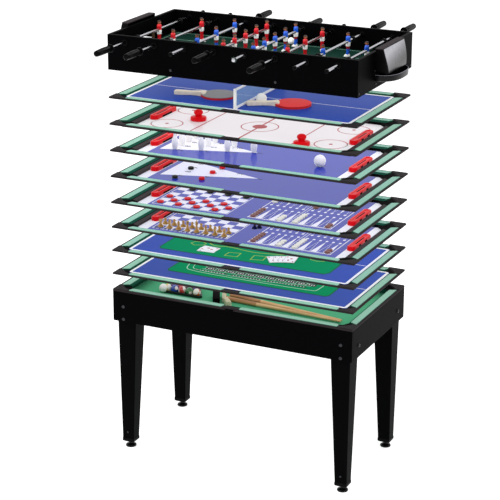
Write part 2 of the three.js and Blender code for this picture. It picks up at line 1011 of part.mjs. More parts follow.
// The net across the middle: two posts, a tape at the top and the foot, and the mesh between
function net() {
  const half = netPost / 2;
  const post = (y) => block([-half, y - half, 0], [half, y + half, netHeight]);
  const end = halfWidth - nose - netInset - half;
  const tape = (low) => block([-half / 2, -end, low], [half / 2, end, low + netTape]);
  const mesh = block([-netMesh / 2, -end, netTape / 2], [netMesh / 2, end, netHeight - netTape / 2]);
  return joined([post(-end), post(end), tape(0), tape(netHeight - netTape), mesh]);
}

// A bat with its handle towards -X and the middle of its blade at the origin
function bat() {
  const blade = Array.from({ length: manySides }, (_, i) => {
    const turn = (2 * Math.PI * i) / manySides;
    return [(batBladeLength / 2) * Math.cos(turn), (batBladeWidth / 2) * Math.sin(turn)];
  });
  const half = batHandleWidth / 2;
  const root = -batBladeLength / 2;
  const throat = [
    [root - batHandleWidth / 2, -half],
    [root + batHandleWidth, -half * 2],
    [root + batHandleWidth, half * 2],
    [root - batHandleWidth / 2, half],
  ];
  const middle = batHandleHeight / 2 - batThickness / 2;
  const handle = block(
    [root - batHandleLength + half, -half, 0],
    [root, half, batHandleHeight],
  );
  return joined([raise(blade, batThickness, middle), raise(throat, batThickness, middle), handle]);
}

// Where the bats' blades lie, as shares of the half length and half width, and how they are turned
const batShares = [
  ["bat_left", -0.295, -0.233, 14],
  ["bat_right", 0.316, -0.242, 26],
];

function addTennis() {
  place("net", net(), netWhite).position.z = tennisField;
  const batGeometry = geometryOf(bat());
  for (const [name, xShare, yShare, degrees] of batShares) {
    const mesh = place(name, batGeometry, batRed);
    mesh.position.set(xShare * halfLength, yShare * halfWidth, tennisField);
    mesh.rotation.z = THREE.MathUtils.degToRad(degrees);
  }
}

addTennis();

// What lies on the pool bed

// Where the balls of a full triangle stand, the point away from the front
function rackPlaces() {
  const row = (ballPitch * Math.sqrt(3)) / 2;
  return Array.from({ length: rackRows }, (_, i) =>
    Array.from({ length: rackRows - i }, (_, j) => [
      (j - (rackRows - 1 - i) / 2) * ballPitch,
      (i - (rackRows - 1) / 3) * row,
    ]),
  ).flat();
}

// An equilateral triangle whose sides stand this far from its middle
function triangle(inradius) {
  const half = inradius * Math.sqrt(3);
  return [
    [-half, -inradius],
    [half, -inradius],
    [0, 2 * inradius],
  ];
}

// The triangle with its fifteen balls in it, all touching
function rack() {
  const flat = ballRadius * Math.cos(Math.PI / ballSides);
  const inner = (ballPitch * (rackRows - 1) * Math.sqrt(3)) / 6 + flat - seatGap;
  const frame = raise(triangle(inner + rackWall), rackHeight, 0).subtract(
    raise(triangle(inner), rackHeight + 2 * overrun, -overrun),
  );
  const ball = turnedPiece(ballShares, ballRadius, ballRadius, ballSides);
  return joined([frame, ...rackPlaces().map(([x, y]) => ball.translate([x, y, 0]))]);
}

// A tapered cue lying on the bed, with its tip at the origin and its butt towards the angle
function cue(degrees) {
  const geometry = new THREE.CylinderGeometry(cueButt, cueTip, cueLength, fewSides)
    .translate(0, cueLength / 2, 0)
    .rotateX(Math.asin((cueButt - cueTip) / cueLength))
    .translate(0, 0, cueTip)
    .rotateZ(THREE.MathUtils.degToRad(degrees) - Math.PI / 2);
  return solid(geometry);
}

// The middle of the triangle and the tips of the cues, as shares of the half length and half width
const rackShares = [-0.565, -0.245];
const cueShares = [0.79, -0.455];
const cueTurns = [172.5, 176];

function addPool() {
  const top = bedTop + seatGap;
  const on = ([x, y]) => [x * halfLength, y * halfWidth, top];
  place("ball_rack", rack(), rackBlack).position.set(...on(rackShares));
  place("cues", joined(cueTurns.map(cue)), cueWood).position.set(...on(cueShares));
}

addPool();

export default part;
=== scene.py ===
import json
import math

import bmesh
import bpy
import numpy as np
from bpy.props import FloatProperty, FloatVectorProperty, PointerProperty
from mathutils import Matrix, Vector

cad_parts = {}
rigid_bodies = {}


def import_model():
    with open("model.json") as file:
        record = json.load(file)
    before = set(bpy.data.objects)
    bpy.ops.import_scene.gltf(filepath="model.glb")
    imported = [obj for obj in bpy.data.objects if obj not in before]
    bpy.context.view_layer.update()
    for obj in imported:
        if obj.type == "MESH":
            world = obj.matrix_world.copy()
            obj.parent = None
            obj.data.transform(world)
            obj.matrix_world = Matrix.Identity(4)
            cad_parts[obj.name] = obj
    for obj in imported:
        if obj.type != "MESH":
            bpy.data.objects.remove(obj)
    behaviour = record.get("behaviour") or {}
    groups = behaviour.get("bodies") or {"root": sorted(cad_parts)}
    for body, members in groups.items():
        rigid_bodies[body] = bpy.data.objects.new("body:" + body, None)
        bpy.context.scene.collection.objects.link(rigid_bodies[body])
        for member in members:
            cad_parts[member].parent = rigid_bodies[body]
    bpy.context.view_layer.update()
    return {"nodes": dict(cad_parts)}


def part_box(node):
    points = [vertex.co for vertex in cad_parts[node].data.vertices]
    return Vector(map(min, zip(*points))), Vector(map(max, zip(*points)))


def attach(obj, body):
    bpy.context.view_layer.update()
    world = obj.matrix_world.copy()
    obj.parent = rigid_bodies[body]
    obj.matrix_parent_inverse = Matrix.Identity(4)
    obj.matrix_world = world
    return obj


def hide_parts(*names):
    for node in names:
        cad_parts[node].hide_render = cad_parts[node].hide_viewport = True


bl_info = {
    "name": "Multi game table",
    "version": (1, 0, 0),
    "blender": (4, 5, 0),
    "location": "View3D > Sidebar > Game table",
    "description": "Dresses the packed frame of a multi game table with its cloth, prints and pieces",
    "category": "Object",
}

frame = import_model()

MM = 0.001
FLUSH = ("craps", "cards", "tennis")
RECESSED = ("chess", "draughts", "shuffle", "bowling", "hockey")
LAYERS = ("craps", "cards", "chess", "draughts", "shuffle", "bowling", "hockey", "tennis")


def node_box(node):
    """A CAD node's lowest and highest corner in millimetres."""
    low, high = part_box(node)
    return np.array(low) / MM, np.array(high) / MM


# Measured from the frame, in millimetres: half the length and width, the rails' tops and the main heights.
CAP_RISE = 3
RAIL_LOW, RAIL_HIGH = node_box("base_rail")
LENGTH, WIDTH = RAIL_HIGH[0], RAIL_HIGH[1]
TOPS = {layer: node_box(f"{layer}_rail")[1][2] - CAP_RISE for layer in ("base", *LAYERS)}
BODIES = {layer: f"{layer}_layer" for layer in LAYERS} | {"base": "base"}
BOX_LOW, BOX_HIGH = node_box("box_wall_front")
BOX_TOP = BOX_HIGH[2]
PITCH_TOP = node_box("pitch")[1][2]
BED_TOP = node_box("pool_bed")[1][2]
# From a rail's top down to a blue board and to a recessed floor, and how far pieces stand over what is printed.
FLUSH_DROP = 6
FLOOR_DROP = 22
STANDING = 0.2
PANEL = 15
ROD_DROP = 30
ROD_HEIGHT = BOX_TOP - ROD_DROP
ROD_KINDS = ("keeper", "pair", "three", "five", "five", "three", "pair", "keeper")
ROD_SIDES = (-1, -1, 1, -1, 1, -1, 1, 1)
ROD_FACES = (1, 1, -1, 1, -1, 1, -1, -1)
ROD_PLACES = [np.mean([corner[0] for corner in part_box(f"bumper_{k}")]) / MM for k in range(1, 9)]


def linear(code):
    """Six hex digits as linear light: ((c + 0.055) / 1.055) ** 2.4 for each channel, or c / 12.92 when dark."""
    c = np.array([int(code[i : i + 2], 16) for i in (0, 2, 4)]) / 255
    light = np.where(c <= 0.04045, c / 12.92, ((c + 0.055) / 1.055) ** 2.4)
    return (*light.tolist(), 1.0)


def color_setting(name, description, code):
    """A colour that a maker would change."""
    return FloatVectorProperty(
        name=name, description=description, subtype="COLOR", size=4, min=0, max=1, default=linear(code)
    )


def length_setting(name, description, default):
    """A length that a maker would change, its default in millimetres."""
    return FloatProperty(name=name, description=description, unit="LENGTH", min=0, default=default * MM)


class GameTableColors(bpy.types.PropertyGroup):
    """The colours that a maker would change."""

    laminate: color_setting("Laminate", "Foil on the aprons, walls and legs", "040405")
    cap: color_setting("Caps", "Moulded corner and side caps", "262324")
    cushion: color_setting("Cushion", "Cloth on top of the cushions", "92C6B0")
    # Painted shade: the cushion cloth, darker where it turns away from the light, from the crest to the nose.
    cushion_side: color_setting("Cushion side", "Cloth from the crest to the nose of the cushions", "1C5240")
    felt: color_setting("Bed felt", "Cloth on the pool bed", "4FAE7F")
    blue: color_setting("Blue boards", "Print of the table tennis side", "1C46AC")
    violet: color_setting("Violet boards", "Print of the recessed boards", "2737A6")
    white: color_setting("White board", "Print of the hockey board", "FAF4F9")
    red: color_setting("Red plastic", "Goals, pushers and pucks", "E40C1A")
    mat: color_setting("Card mats", "Cloth of the two card mats", "08935F")
    # The pitch's own green, darkened as painted shade of the box round it.
    pitch: color_setting("Pitch", "Print of the football pitch", "0D2A22")


class GameTableSizes(bpy.types.PropertyGroup):
    """The lengths that a maker would change."""

    edge: length_setting("Panel edge", "Rounding of the laminated panels", 0.8)
    border: length_setting("Border line", "Width of the white line round a blue board", 13)
    middle: length_setting("Middle line", "Width of the thin line along a blue board", 3.5)
    print_height: length_setting("Print height", "Height of printed lines above a board", 0.25)


def colors():
    """The colour settings."""
    return bpy.context.scene.game_table_colors


def sizes(name):
    """A size setting in millimetres."""
    return getattr(bpy.context.scene.game_table_sizes, name) / MM


def print_levels(floor):
    """The foot and the face of what is printed on a board whose surface lies at this height."""
    return floor - 0.1, floor + sizes("print_height")


# Materials


def feed(tree, value, socket):
    """Links a socket to another, or sets it to a plain value."""
    if isinstance(value, bpy.types.NodeSocket):
        tree.links.new(value, socket)
    else:
        socket.default_value = value


def mapped(tree, scale, kind, turn=0.0, **settings):
    """A texture node of this kind read at Object coordinates times a scale, one number or three."""
    place = tree.nodes.new("ShaderNodeTexCoord")
    mapping = tree.nodes.new("ShaderNodeMapping")
    mapping.inputs["Scale"].default_value = (scale,) * 3 if np.isscalar(scale) else scale
    mapping.inputs["Rotation"].default_value = (0, 0, turn)
    texture = tree.nodes.new(kind)
    for name, value in settings.items():
        if name in texture.inputs:
            texture.inputs[name].default_value = value
        else:
            setattr(texture, name, value)
    tree.links.new(place.outputs["Object"], mapping.inputs["Vector"])
    tree.links.new(mapping.outputs["Vector"], texture.inputs["Vector"])
    return texture


def math_node(tree, operation, *values):
    """An operation on sockets and plain numbers."""
    node = tree.nodes.new("ShaderNodeMath")
    node.operation = operation
    for value, socket in zip(values, node.inputs):
        feed(tree, value, socket)
    return node.outputs["Value"]


def ranged(tree, value, low, high):
    """A value from 0 to 1 spread between two others."""
    node = tree.nodes.new("ShaderNodeMapRange")
    node.inputs["To Min"].default_value = low
    node.inputs["To Max"].default_value = high
    tree.links.new(value, node.inputs["Value"])
    return node.outputs["Result"]


def blended(tree, share, low, high, blend="MIX"):
    """The colour between two others at a share, or their product. Each may be a socket or a plain value."""
    node = tree.nodes.new("ShaderNodeMix")
    node.data_type, node.blend_type = "RGBA", blend
    for socket, value in (("Factor", share), ("A", low), ("B", high)):
        feed(tree, value, node.inputs[socket])
    return node.outputs["Result"]


def shade(color, share):
    """A colour times a share, no channel over 1."""
    return (*(min(1.0, c * share) for c in color[:3]), 1.0)


def finish(
    name, color, rough, specular, grain, tint, relief=0.0, detail=3, spread=0.05, weave=0, blotch=6, **sockets
):
    """A finish whose colour wanders by the tint over broad blotches and fine grain, whose roughness wanders by
    the spread, and whose surface rises by the relief, in millimetres. A weave crosses two sets of threads. The
    colour is four numbers or the name of an attribute."""
    material = bpy.data.materials.new(name)
    material.use_nodes = True
    tree = material.node_tree
    shader = tree.nodes["Principled BSDF"].inputs
    shader["Specular IOR Level"].default_value = specular
    for socket, value in sockets.items():
        shader[socket].default_value = value
    broad = mapped(tree, blotch, "ShaderNodeTexNoise", Detail=2.0, Roughness=0.5)
    fine = mapped(tree, grain, "ShaderNodeTexNoise", Detail=float(detail), Roughness=0.6)
    half = math_node(tree, "MULTIPLY", broad.outputs["Fac"], 0.5)
    share = math_node(tree, "MULTIPLY_ADD", fine.outputs["Fac"], 0.5, half)
    if isinstance(color, str):
        paint = tree.nodes.new("ShaderNodeAttribute")
        paint.attribute_name = color
        dust = blended(tree, share, shade((1, 1, 1), 1 - tint), (1.0,) * 4)
        base = blended(tree, 1.0, paint.outputs["Color"], dust, "MULTIPLY")
    else:
        base = blended(tree, share, shade(color, 1 - tint), shade(color, 1 + tint))
    tree.links.new(base, shader["Base Color"])
    tree.links.new(ranged(tree, share, rough - spread, rough + spread), shader["Roughness"])
    if relief:
        bump = tree.nodes.new("ShaderNodeBump")
        bump.inputs["Distance"].default_value = relief * MM
        bump.inputs["Strength"].default_value = 0.6
        tree.links.new(woven(tree, weave) if weave else fine.outputs["Fac"], bump.inputs["Height"])
        tree.links.new(bump.outputs["Normal"], shader["Normal"])
    return material


def woven(tree, pitch):
    """The higher of two sets of threads, sin along X and sin along Y, this many millimetres apart."""
    waves = [
        mapped(tree, 1 / (pitch * MM) / 20, "ShaderNodeTexWave", bands_direction=axis, Scale=1.0, Distortion=0.4)
        for axis in ("X", "Y")
    ]
    return math_node(tree, "MAXIMUM", *(wave.outputs["Fac"] for wave in waves))


def timber(name, light, dark, rough, degrees, rings):
    """Wood whose growth rings are stretched bands along the piece, turned about Z."""
    material = finish(name, linear(light), rough, 0.5, (30, 400, 400), 0.1)
    tree = material.node_tree
    base = tree.nodes["Principled BSDF"].inputs["Base Color"]
    bands = mapped(
        tree, (2.0, rings, rings), "ShaderNodeTexWave", -math.radians(degrees),
        bands_direction="Y", Scale=1.0, Distortion=6.0, Detail=3.0,
    )
    share = ranged(tree, bands.outputs["Fac"], 0.0, 0.6)
    tree.links.new(blended(tree, share, base.links[0].from_socket, linear(dark)), base)
    return material


FINISHES = {}


def look(name):
    """A finish by its name, made once from its row in one of the two tables."""
    if name not in FINISHES:
        if name in TIMBERS:
            FINISHES[name] = timber(f"{name}_finish", *TIMBERS[name])
        else:
            color, rough, specular, grain, tint, relief, *others = LOOKS[name]
            if color.startswith("#"):
                color = linear(color[1:])
            elif hasattr(colors(), color):
                color = getattr(colors(), color)
            FINISHES[name] = finish(f"{name}_finish", color, rough, specular, grain, tint, relief, **dict(*others))
    return FINISHES[name]


# Finish: colour, roughness, specular level, grain, tint, relief in mm, and what else differs. The colour is six
# hex digits, a colour setting or the attribute that a piece is painted with. A grain is one scale or three.
LOOKS = {
    "laminate": ("laminate", 0.45, 0.012, (12, 260, 260), 0.3, 0.04),
    "laminate_upright": ("laminate", 0.45, 0.015, (260, 260, 12), 0.3, 0.04),
    "cap": ("cap", 0.6, 0.06, 500, 0.15, 0.06),
    "ledge": ("#3A3435", 0.6, 0.04, 400, 0.12, 0.05),
    "rim": ("#2C2628", 0.6, 0.04, 400, 0.12, 0.04),
    "pocket": ("#060607", 0.8, 0.03, 400, 0.2, 0),
    "cushion": ("cushion", 0.9, 0.2, 900, 0.07, 0.1, {"weave": 1.2, "Sheen Weight": 0.08}),
    # The cushion cloth again, darker as painted shade: on the outer face, and from the crest to the nose.
    "cushion_face": ("#4A7566", 0.95, 0.05, 900, 0.1, 0.1, {"weave": 1.2}),
    "cushion_side": ("cushion_side", 0.95, 0.05, 900, 0.1, 0.1, {"weave": 1.2}),
    "felt": ("felt", 0.95, 0.1, 1400, 0.08, 0.15, {"detail": 5, "Sheen Weight": 0.05}),
    "blue_print": ("blue", 0.4, 0.06, 300, 0.06, 0.01, {"blotch": 3}),
    "violet_print": ("violet", 0.06, 0.185, 300, 0.05, 0, {"spread": 0.02, "blotch": 3}),
    "white_print": ("white", 0.12, 0.1, 300, 0.02, 0, {"spread": 0.03, "blotch": 3}),
    "white_ink": ("#F4F4F8", 0.3, 0.15, 300, 0.02, 0),
    "red_ink": ("#B41A28", 0.3, 0.15, 300, 0.04, 0),
    "yellow_ink": ("#A8C94A", 0.6, 0.15, 300, 0.05, 0),
    "dark_ink": ("#12251E", 0.6, 0.15, 300, 0.05, 0),
    "grey_ink": ("#8A8A96", 0.4, 0.15, 300, 0.05, 0),
    # Navy for the painted reflections of the chessmen on the chess board.
    "navy_ink": ("#0E0E5C", 0.3, 0.1, 300, 0.05, 0),
    "mint_ink": ("#BFE6D2", 0.6, 0.15, 300, 0.05, 0),
    # The pitch's green, darkened as painted shade of the box round it.
    "pitch": ("pitch", 0.7, 0.05, 300, 0.12, 0.02),
    "pitch_ink": ("#7FA894", 0.6, 0.5, 300, 0.05, 0),
    "red_plastic": ("red", 0.3, 0.1, 250, 0.06, 0.02),
    "mat": ("mat", 0.95, 0.05, 1200, 0.06, 0.1, {"detail": 4}),
    "chrome": ("#BCBCC2", 0.18, 0.5, (900, 20, 900), 0.04, 0, {"spread": 0.06, "Metallic": 1.0}),
    "grip": ("#030304", 0.3, 0.05, 600, 0.2, 0.05),
    "rubber": ("#080809", 0.6, 0.12, 700, 0.25, 0.08),
    "shine": ("#060607", 0.25, 0.16, 300, 0.15, 0.02),
    "bearing": ("#040405", 0.45, 0.05, 400, 0.2, 0.03),
    # The plate's colour is a painted highlight, from near black to light grey.
    "hood_plate": ("gleam", 0.28, 0.3, 300, 0.1, 0.02, {"Coat Weight": 0.3, "Coat Roughness": 0.2}),
    "raw_edge": ("#6B543A", 0.85, 0.5, 500, 0.25, 0.1),
    "shirt_red": ("#C4141F", 0.35, 0.5, 500, 0.08, 0.04),
    "shirt_blue": ("#1F56C4", 0.35, 0.5, 500, 0.08, 0.04),
    "shorts": ("#E6E6E4", 0.4, 0.5, 500, 0.04, 0.03),
    "skin_dark": ("#8E1D22", 0.4, 0.5, 500, 0.08, 0.03),
    "skin": ("#9A5F40", 0.45, 0.5, 500, 0.06, 0.02),
    "hair": ("#2A1712", 0.5, 0.5, 900, 0.2, 0.1),
    "net": ("#FCFCFD", 0.6, 0.5, 900, 0.03, 0.05, {"weave": 0.9}),
    "cord": ("#8FB4E0", 0.7, 0.5, 900, 0.05, 0),
    "bat_red": ("#EE3436", 0.75, 0.5, 900, 0.05, 0.08),
    "bat_grey": ("#8E8E92", 0.75, 0.5, 900, 0.06, 0.08),
    "sponge": ("#D0141C", 0.8, 0.5, 700, 0.12, 0.1),
    "ivory": ("#FBFAF7", 0.25, 0.5, 250, 0.03, 0.01, {"Coat Weight": 0.1}),
    "draught_red": ("#E2141F", 0.35, 0.12, 400, 0.07, 0.02),
    "draught_black": ("#08080A", 0.3, 0.15, 400, 0.2, 0.02),
    "brown_piece": ("#7A423C", 0.4, 0.5, 400, 0.12, 0.02),
    "cream_piece": ("#F2F1DE", 0.35, 0.5, 400, 0.04, 0.02),
    "gold": ("#A87C34", 0.28, 0.5, 300, 0.3, 0.03, {"Metallic": 0.45, "Coat Weight": 0.3}),
    "navy": ("#08083C", 0.3, 0.1, 300, 0.15, 0.03),
    "card": ("#FBFBFB", 0.4, 0.5, 300, 0.02, 0),
    "ball_paint": ("ball", 0.12, 0.5, 200, 0.04, 0, {"spread": 0.03, "Coat Weight": 0.6}),
    "rack": ("#070708", 0.35, 0.5, 400, 0.15, 0.03),
    "chalk": ("#3E8CCB", 0.9, 0.5, 900, 0.12, 0.15),
    "bristle": ("#E9E3C4", 0.9, 0.5, (900, 900, 60), 0.15, 0.4),
    "bolt": ("#3A3A3E", 0.3, 0.5, 700, 0.1, 0, {"Metallic": 0.8}),
    "clear_disc": ("#39473F", 0.35, 0.1, 300, 0.08, 0, {"Alpha": 0.8}),
}
# Wood: light and dark colour, roughness, the grain's turn in degrees, and how many rings to the metre.
TIMBERS = {
    "cue_wood": ("EAC08A", "CC965C", 0.4, -6, 22.0),
    # The cue wood, darker as painted shade, for the butt ends that lie under the layer above.
    "cue_butt": ("C08A58", "8E5C36", 0.4, -6, 22.0),
    "handle_wood": ("F2E6D4", "EADAC2", 0.5, 18, 30.0),
}


# Shapes, in millimetres, as points and faces


def tube(rings, closed=False):
    """Skin over rings of points: point j of ring i is joined to its neighbours in the ring and to point j of
    ring i + 1. The two ends are flat caps, unless the rings close on themselves."""
    rings = np.asarray(rings, float)
    rows, columns = rings.shape[:2]
    number = np.arange(rows * columns).reshape(rows, columns)
    i = np.arange(rows if closed else rows - 1)[:, None]
    j = np.arange(columns)[None]
    after, beside = (i + 1) % rows, (j + 1) % columns
    quads = np.stack([number[i, j], number[i, beside], number[after, beside], number[after, j]], -1)
    faces = quads.reshape(-1, 4).tolist()
    if not closed:
        faces += [number[0][::-1].tolist(), number[-1].tolist()]
    return rings.reshape(-1, 3), faces


def lathe(profile, sides):
    """A profile of (radius, height) turned about Z: (r cos t, r sin t, h)."""
    profile = np.asarray(profile, float)
    t = 2 * np.pi * np.arange(sides) / sides
    r, h = profile[:, :1], profile[:, 1:]
    return tube(np.stack([r * np.cos(t), r * np.sin(t), h + 0 * t], -1))


def softened(points, times=2, closed=False):
    """Corners cut off a path again and again, a quarter in from each. An open path keeps its ends."""
    points = np.asarray(points, float)
    for _ in range(times):
        ahead = np.roll(points, -1, 0) if closed else points[1:]
        here = points if closed else points[:-1]
        cut = np.stack([0.75 * here + 0.25 * ahead, 0.25 * here + 0.75 * ahead], 1).reshape(-1, points.shape[1])
        points = cut if closed else np.concatenate([points[:1], cut, points[-1:]])
    return points


def slab(outline, low, high):
    """A flat outline raised from one height to another."""
    outline = np.asarray(outline, float)
    flat = np.zeros((2, len(outline), 3))
    flat[..., :2] = outline
    flat[0, :, 2], flat[1, :, 2] = low, high
    return tube(flat)


def rectangle(low, high):
    """A rectangle's outline from its lowest and highest corner."""
    return np.array([[low[0], low[1]], [high[0], low[1]], [high[0], high[1]], [low[0], high[1]]], float)


def block(low, high):
    """A box from its lowest and highest corner."""
    return slab(rectangle(low, high), low[2], high[2])


def panel_block(inset, low, high):
    """A box over the table's length and width less an inset on each side, between two heights."""
    return block((-LENGTH + inset, -WIDTH + inset, low), (LENGTH - inset, WIDTH - inset, high))


def grid_quads(rows, columns):
    """The faces of a grid of points."""
    number = np.arange(rows * columns).reshape(rows, columns)
    return np.stack([number[:-1, :-1], number[1:, :-1], number[1:, 1:], number[:-1, 1:]], -1).reshape(-1, 4)


def globe(radius, narrowest, rows=15):
    """A ball's profile: (r cos t, r sin t), never nearer to the axis than the narrowest."""
    t = np.linspace(-np.pi / 2, np.pi / 2, rows)
    return np.stack([np.maximum(radius * np.cos(t), narrowest), radius * np.sin(t)], 1)


def oblong(half_x, half_y, radius, steps=6, middle=(0, 0)):
    """A rectangle's outline with quarter circles for corners: the corner's centre plus (r cos t, r sin t)."""
    t = np.linspace(0, np.pi / 2, steps)
    corners = []
    for sx, sy, start in ((1, 1, 0), (-1, 1, np.pi / 2), (-1, -1, np.pi), (1, -1, 3 * np.pi / 2)):
        centre = np.array([sx * (half_x - radius), sy * (half_y - radius)])
        corners.append(centre + radius * np.stack([np.cos(t + start), np.sin(t + start)], 1))
    return np.concatenate(corners) + middle


def arc(radius, start=0.0, end=360.0, steps=48, middle=(0, 0)):
    """Points of a circle between two angles in degrees; a whole circle leaves out its last point."""
    whole = abs(end - start) >= 360
    t = np.radians(np.linspace(start, end, steps, endpoint=not whole))
    return np.stack([radius * np.cos(t), radius * np.sin(t)], 1) + middle


def line(path, width, low, high, closed=False):
    """A flat stroke along a path: each point moved half the width along the mitred normal, to both sides."""
    path = np.asarray(path, float)
    if closed:
        before, after = path - np.roll(path, 1, 0), np.roll(path, -1, 0) - path
    else:
        steps = np.diff(path, axis=0)
        before, after = np.concatenate([steps[:1], steps]), np.concatenate([steps, steps[-1:]])
    before = before / np.linalg.norm(before, axis=1, keepdims=True)
    after = after / np.linalg.norm(after, axis=1, keepdims=True)
    along = before + after
    along /= np.linalg.norm(along, axis=1, keepdims=True)
    normal = np.stack([-along[:, 1], along[:, 0]], 1)
    reach = (width / 2) / np.clip((along * before).sum(1, keepdims=True), 0.3, 1)
    left, right = path + normal * reach, path - normal * reach
    rings = np.zeros((len(path), 4, 3))
    for k, (side, height) in enumerate(((left, low), (right, low), (right, high), (left, high))):
        rings[:, k, :2], rings[:, k, 2] = side, height
    return tube(rings, closed)


def moved(part, offset):
    """A part shifted by an offset."""
    return part[0] + np.asarray(offset, float), part[1]


def turned(part, degrees, axis="Z"):
    """A part turned about an axis through the origin."""
    turn = np.array(Matrix.Rotation(math.radians(degrees), 3, axis))
    return part[0] @ turn.T, part[1]


def joined(parts):
    """Several parts as one, the faces of each numbered after the points before it."""
    points, faces, count = [], [], 0
    for part in parts:
        points.append(part[0])
        faces += [[count + v for v in face] for face in part[1]]
        count += len(part[0])
    return np.concatenate(points), faces


def copies(part, places):
    """The same part at each of these places."""
    places = np.asarray(places, float)
    if places.shape[1] == 2:
        places = np.concatenate([places, np.zeros((len(places), 1))], 1)
    return joined([moved(part, place) for place in places])


def bar(profile, sides, outward):
    """A turned profile laid along Y: its heights become distances along +Y or -Y."""
    return turned(lathe(profile, sides), -90 * outward, "X")


class Skin:
    """The closed skins of one piece, with the number of the finish that each takes."""

    def __init__(self):
        self.parts, self.paints = [], []

    def add(self, part, paint=0, at=None):
        """Adds a part at a place, painted with one finish or with one for each face."""
        self.parts.append(part if at is None else moved(part, at))
        self.paints += paint if isinstance(paint, list) else [paint] * len(part[1])
        return self


def piece(name, skin, looks, body, node=None, sharp=35, edge=0.0, paint=None):
    """Makes a skin, or one part, a piece that rides on a body in place of a node. Points that coincide are merged,
    so that poles and seams close. A paint is the name of a colour attribute and its value at each point."""
    if isinstance(skin, tuple):
        skin = Skin().add(skin)
    points, faces = joined(skin.parts)
    mesh = bpy.data.meshes.new(name)
    mesh.from_pydata((points * MM).tolist(), [], faces)
    mesh.polygons.foreach_set("material_index", np.array(skin.paints, np.int32))
    if paint is not None:
        attribute = mesh.color_attributes.new(paint[0], "FLOAT_COLOR", "POINT")
        attribute.data.foreach_set("color", np.asarray(paint[1], np.float32).ravel())
    bm = bmesh.new()
    bm.from_mesh(mesh)
    bmesh.ops.remove_doubles(bm, verts=bm.verts, dist=1e-7)
    bmesh.ops.recalc_face_normals(bm, faces=bm.faces)
    bm.to_mesh(mesh)
    bm.free()
    return placed(name, mesh, looks, body, node, sharp, edge)


def linked(name, data):
    """An object for this data, in the scene."""
    made = bpy.data.objects.new(name, data)
    bpy.context.scene.collection.objects.link(made)
    return made


def placed(name, mesh, looks, body, node, sharp, edge):
    """Puts a mesh in the scene with its finishes, smooth but for its sharp edges, and rides it on a body."""
    for each in [looks] if isinstance(looks, str) else looks:
        mesh.materials.append(look(each))
    mesh.shade_smooth()
    mesh.set_sharp_from_angle(angle=math.radians(sharp))
    made = linked(name, mesh)
    if edge:
        bevel = made.modifiers.new("Edge", "BEVEL")
        bevel.width = edge * MM
        bevel.segments = 2
        bevel.limit_method = "ANGLE"
        bevel.angle_limit = math.radians(40)
        bevel.harden_normals = True
    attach(made, body)
    if node:
        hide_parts(node)
    return made


def trimmed(node, name, looks, body, edge):
    """A CAD node's own shape with its loose triangles merged into faces and its edges rounded."""
    bm = bmesh.new()
    bm.from_mesh(frame["nodes"][node].data)
    bmesh.ops.remove_doubles(bm, verts=bm.verts, dist=1e-5)
    bmesh.ops.dissolve_limit(bm, angle_limit=math.radians(1), verts=bm.verts, edges=bm.edges)
    bm.verts.index_update()
    mesh = bpy.data.meshes.new(name)
    mesh.from_pydata([tuple(v.co) for v in bm.verts], [], [[v.index for v in f.verts] for f in bm.faces])
    bm.free()
    return placed(name, mesh, looks, body, node, 35, edge)


# Rails


# A cushion's section: inset from the table's edge, and height over the rail's top.
CUSHION = (
    (12, -8), (20, -9.9), (50, -9.9), (54.7, -8.4), (54.7, -7.2), (45, -0.9), (42, 0.4), (14, 0.4),
    (10.6, 0), (9.6, -1.2), (9.6, -7),
)
POCKET = 72
SPLAY, SIDE_SPLAY = 20, 8
SIDE_GAP = 38
CREST = 44
RIM_DROP = 1.6
POCKET_DROP = 9.8
CORNERS = ((-1, -1), (1, -1), (1, 1), (-1, 1))


def cushion(start, end, splays, top):
    """The cushion's section carried along one side: inset from the edge inward, height from the rail's top.
    Its two ends slant by the splay times the inset's share, and the nose is drawn in a little there."""
    section = softened(CUSHION, 1, closed=True)
    inset, height = section[:, 0], section[:, 1]
    share = np.clip((inset - 12) / 43, 0, 1)
    steps = np.array([0, 0.003, 0.01, 0.5, 0.99, 0.997, 1.0])
    drawn = np.array([2.2, 0.8, 0, 0, 0, 0.8, 2.2])[:, None]
    low = start + splays[0] * share
    high = end - splays[1] * share
    along = low + (high - low) * steps[:, None]
    depth = inset - drawn * share
    level = height - drawn * 0.6 * (height > -4) + 0 * along
    return tube(np.stack([along, np.broadcast_to(depth, along.shape), level + top], -1))


def on_side(part, side):
    """Turns a part built as (along, inset, height) onto a side of the table: front, back, left or right."""
    points, faces = part
    along, inset, height = points.T
    places = {
        "front": (along, inset - WIDTH),
        "back": (-along, WIDTH - inset),
        "left": (inset - LENGTH, -along),
        "right": (LENGTH - inset, along),
    }[side]
    return np.stack([*places, height], 1), faces


def cloth_sides(part, top):
    """Finish numbers of a cushion's faces before it is put on its side: 0 on top, 1 from the crest down to the
    nose, below it and on the two ends, 2 on the outer face. 1 and 2 are the same cloth, darker as painted shade."""
    points, faces = part
    middles = np.array([points[face].mean(0) for face in faces])
    inner = (middles[:, 1] > CREST) | (middles[:, 2] < top - 5)
    ends = np.array([len(face) > 4 for face in faces])
    # The outer face takes a lighter painted shade, and the inner faces and the ends a deeper one.
    paint = np.where(middles[:, 1] < 11, 2, 0)
    return np.where(inner | ends, 1, paint).tolist()


def cushions(top):
    """The six cushions of one rail: two along each long side, one along each short side."""
    skin = Skin()
    long, short = LENGTH - POCKET, WIDTH - POCKET
    halves = ((-long, -SIDE_GAP, SPLAY, SIDE_SPLAY), (SIDE_GAP, long, SIDE_SPLAY, SPLAY))
    runs = [(side, *half) for side in ("front", "back") for half in halves]
    runs += [(side, -short, short, SPLAY, SPLAY) for side in ("left", "right")]
    for side, start, end, *splays in runs:
        part = cushion(start, end, splays, top)
        skin.add(on_side(part, side), cloth_sides(part, top))
    return skin


